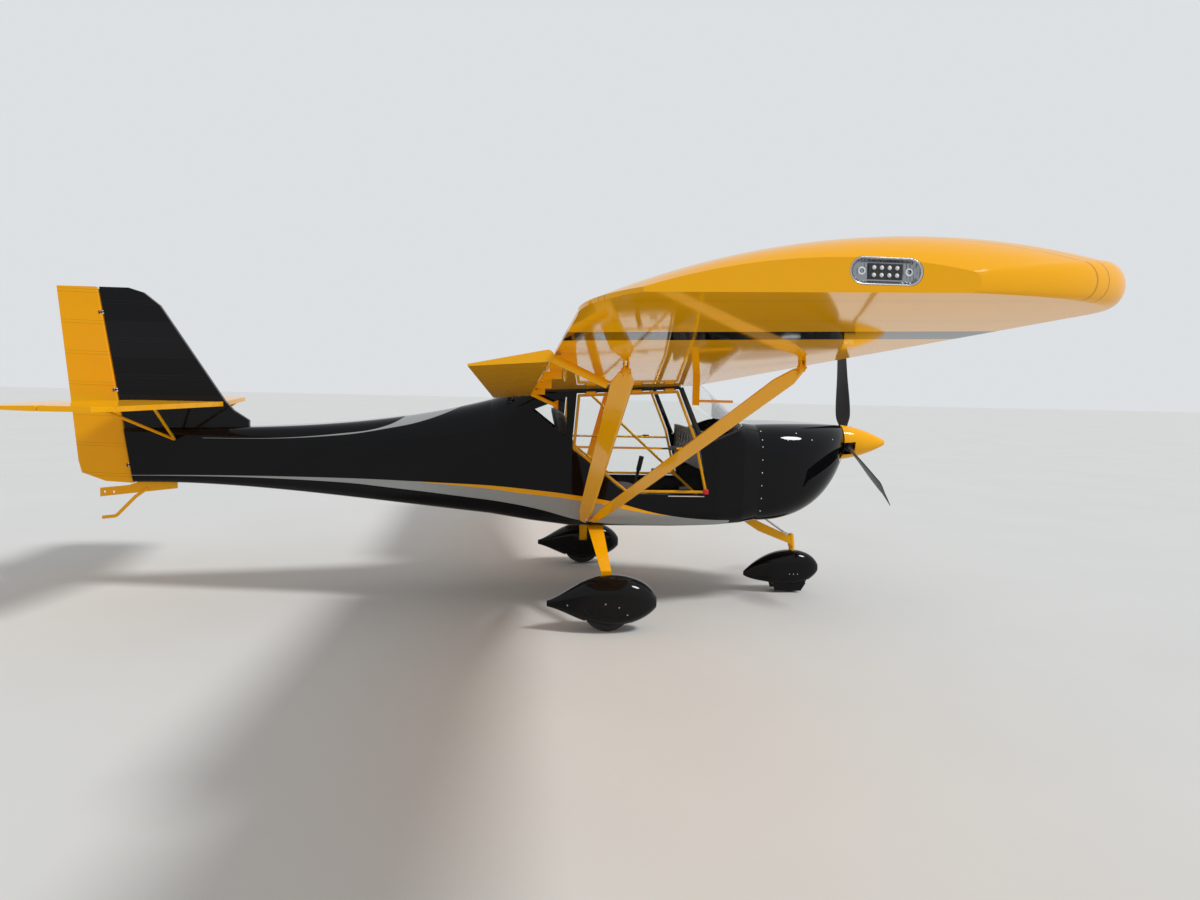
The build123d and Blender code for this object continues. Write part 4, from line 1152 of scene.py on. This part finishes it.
# Seals along the wing's root, and trim along the windscreen's foot and up its post, on the left side
seal_points = ((-0.44, 0.5615, 1.408), (0.0, 0.5615, 1.431), (0.47, 0.5615, 1.458))
seal_width = 0.016
seal_thick = 0.005
foot_start = (0.652, 1.094)
foot_run = (0.27, 0.114)
foot_steps = 10
foot_drop = 0.008
foot_lift = 0.001
foot_width = 0.014
post_points = ((0.487, 0.5612, 1.452), (0.642, 0.5612, 1.094))
post_way = (1, 0, 0.43)
post_width = 0.022
trim_thick = 0.004


def foot_line(sign):
    """Points on the scuttle just below the windscreen's lower edge."""
    line = []
    for k in range(foot_steps + 1):
        x, z = [start + run * k / foot_steps for start, run in zip(foot_start, foot_run)]
        hit = side_hit("scuttle_panel", axle_x + x, z - foot_drop, sign)
        if hit:
            line.append(hit[0] + Vector((0, sign * foot_lift, foot_drop)))
    return line


def root_seals():
    """Black rubber seals where the wing meets the cabin, and the trim round the windscreen's edges."""
    for side, sign in sides:
        seals = bmesh.new()
        add_strap(seals, [beside(point, sign) for point in seal_points], (0, 0, 1), seal_width, seal_thick)
        add_piece("wing_root_seal_" + side, seals, rubber)
        trim = bmesh.new()
        add_strap(trim, foot_line(sign), (0, 0, 1), foot_width, trim_thick)
        add_strap(trim, [beside(point, sign) for point in post_points], post_way, post_width,
                  trim_thick)
        add_piece("windscreen_trim_" + side, trim, rubber)


# Pins behind the cabin, as (ahead of the main axle, off the middle), leaning outward
pin_places = ((-0.6, 0.43), (-0.52, 0.41), (-0.47, 0.44))
pin_lean = 0.6
pin_profile = [(0, 0.034), (0.012, 0.034), (0.015, 0.03), (0.015, 0.018), (0.022, 0.016),
                    (0.022, 0.004), (0.026, 0.002), (0.026, -0.02)]


def wing_pins():
    """The dark lugs and pins behind the cabin that hold the wing's rear edge."""
    for side, sign in sides:
        form = bmesh.new()
        for x, y in pin_places:
            place, _ = top_hit("rear_cabin_shell", axle_x + x, sign * y)
            add_ring(form, facing(place, (0, sign * pin_lean, 1)), pin_profile, steps=20)
        add_piece("wing_pins_" + side, form, dark_metal)


# Six-sided bolt heads at the struts' feet, as (ahead of the main axle, height)
bolt_places = ((-0.105, 0.612), (-0.06, 0.606))
bolt_profile = [(0, 0.006), (0.007, 0.006), (0.009, 0.005), (0.009, -0.002)]


def strut_bolts():
    """Bolt heads at the struts' feet, on the front strut where it is met and else on the rear one."""
    heads = bmesh.new()
    for side, sign in sides:
        for ahead, z in bolt_places:
            hits = [side_hit(strut + side, axle_x + ahead, z, sign)
                    for strut in ("front_strut_", "rear_strut_")]
            add_ring(heads, facing(*next(filter(None, hits))), bolt_profile, steps=6)
    add_piece("strut_bolts", heads, steel)


# Steering rods on the left side, and the eye at the foot of each
rod_points = ((1.16, 0.05, 0.574), (1.375, 0.045, 0.43))
rod_radius = 0.005
eye_place = (1.38, 0.045, 0.427)
eye_profile = [(0, -0.007), (0.01, -0.007), (0.01, 0.007), (0, 0.007)]


def steering_rods():
    """The two thin rods that run from the cowl down to the steered fork."""
    form = bmesh.new()
    for _, sign in sides:
        add_tube(form, [beside(point, sign) for point in rod_points], rod_radius, steps=12)
        add_ring(form, facing(beside(eye_place, sign), (0, 1, 0)), eye_profile, steps=16)
    add_piece("steering_rods", form, steel)


def add_floor():
    """A plain pale floor."""
    form = bmesh.new()
    bmesh.ops.create_grid(form, x_segments=1, y_segments=1, size=floor_reach)
    finish = Finish("floor", screen(214, 214, 211), 0.75)
    cloud = finish.noise(scale=0.8, detail=3)
    finish.colour(finish.mix(cloud, screen(210, 210, 207), screen(218, 218, 215)))
    object_from("floor", form, finish.done())


add_world()
add_camera()
cowl_fasteners()
inlet_panels()
spat_fasteners()
seat_pads()
harness()
tip_lamp_parts()
propeller_parts()
root_seals()
wing_pins()
strut_bolts()
steering_rods()
instruments()
door_fittings()
add_floor()
add_sun()
bpy.context.scene.view_settings.view_transform = "Standard"
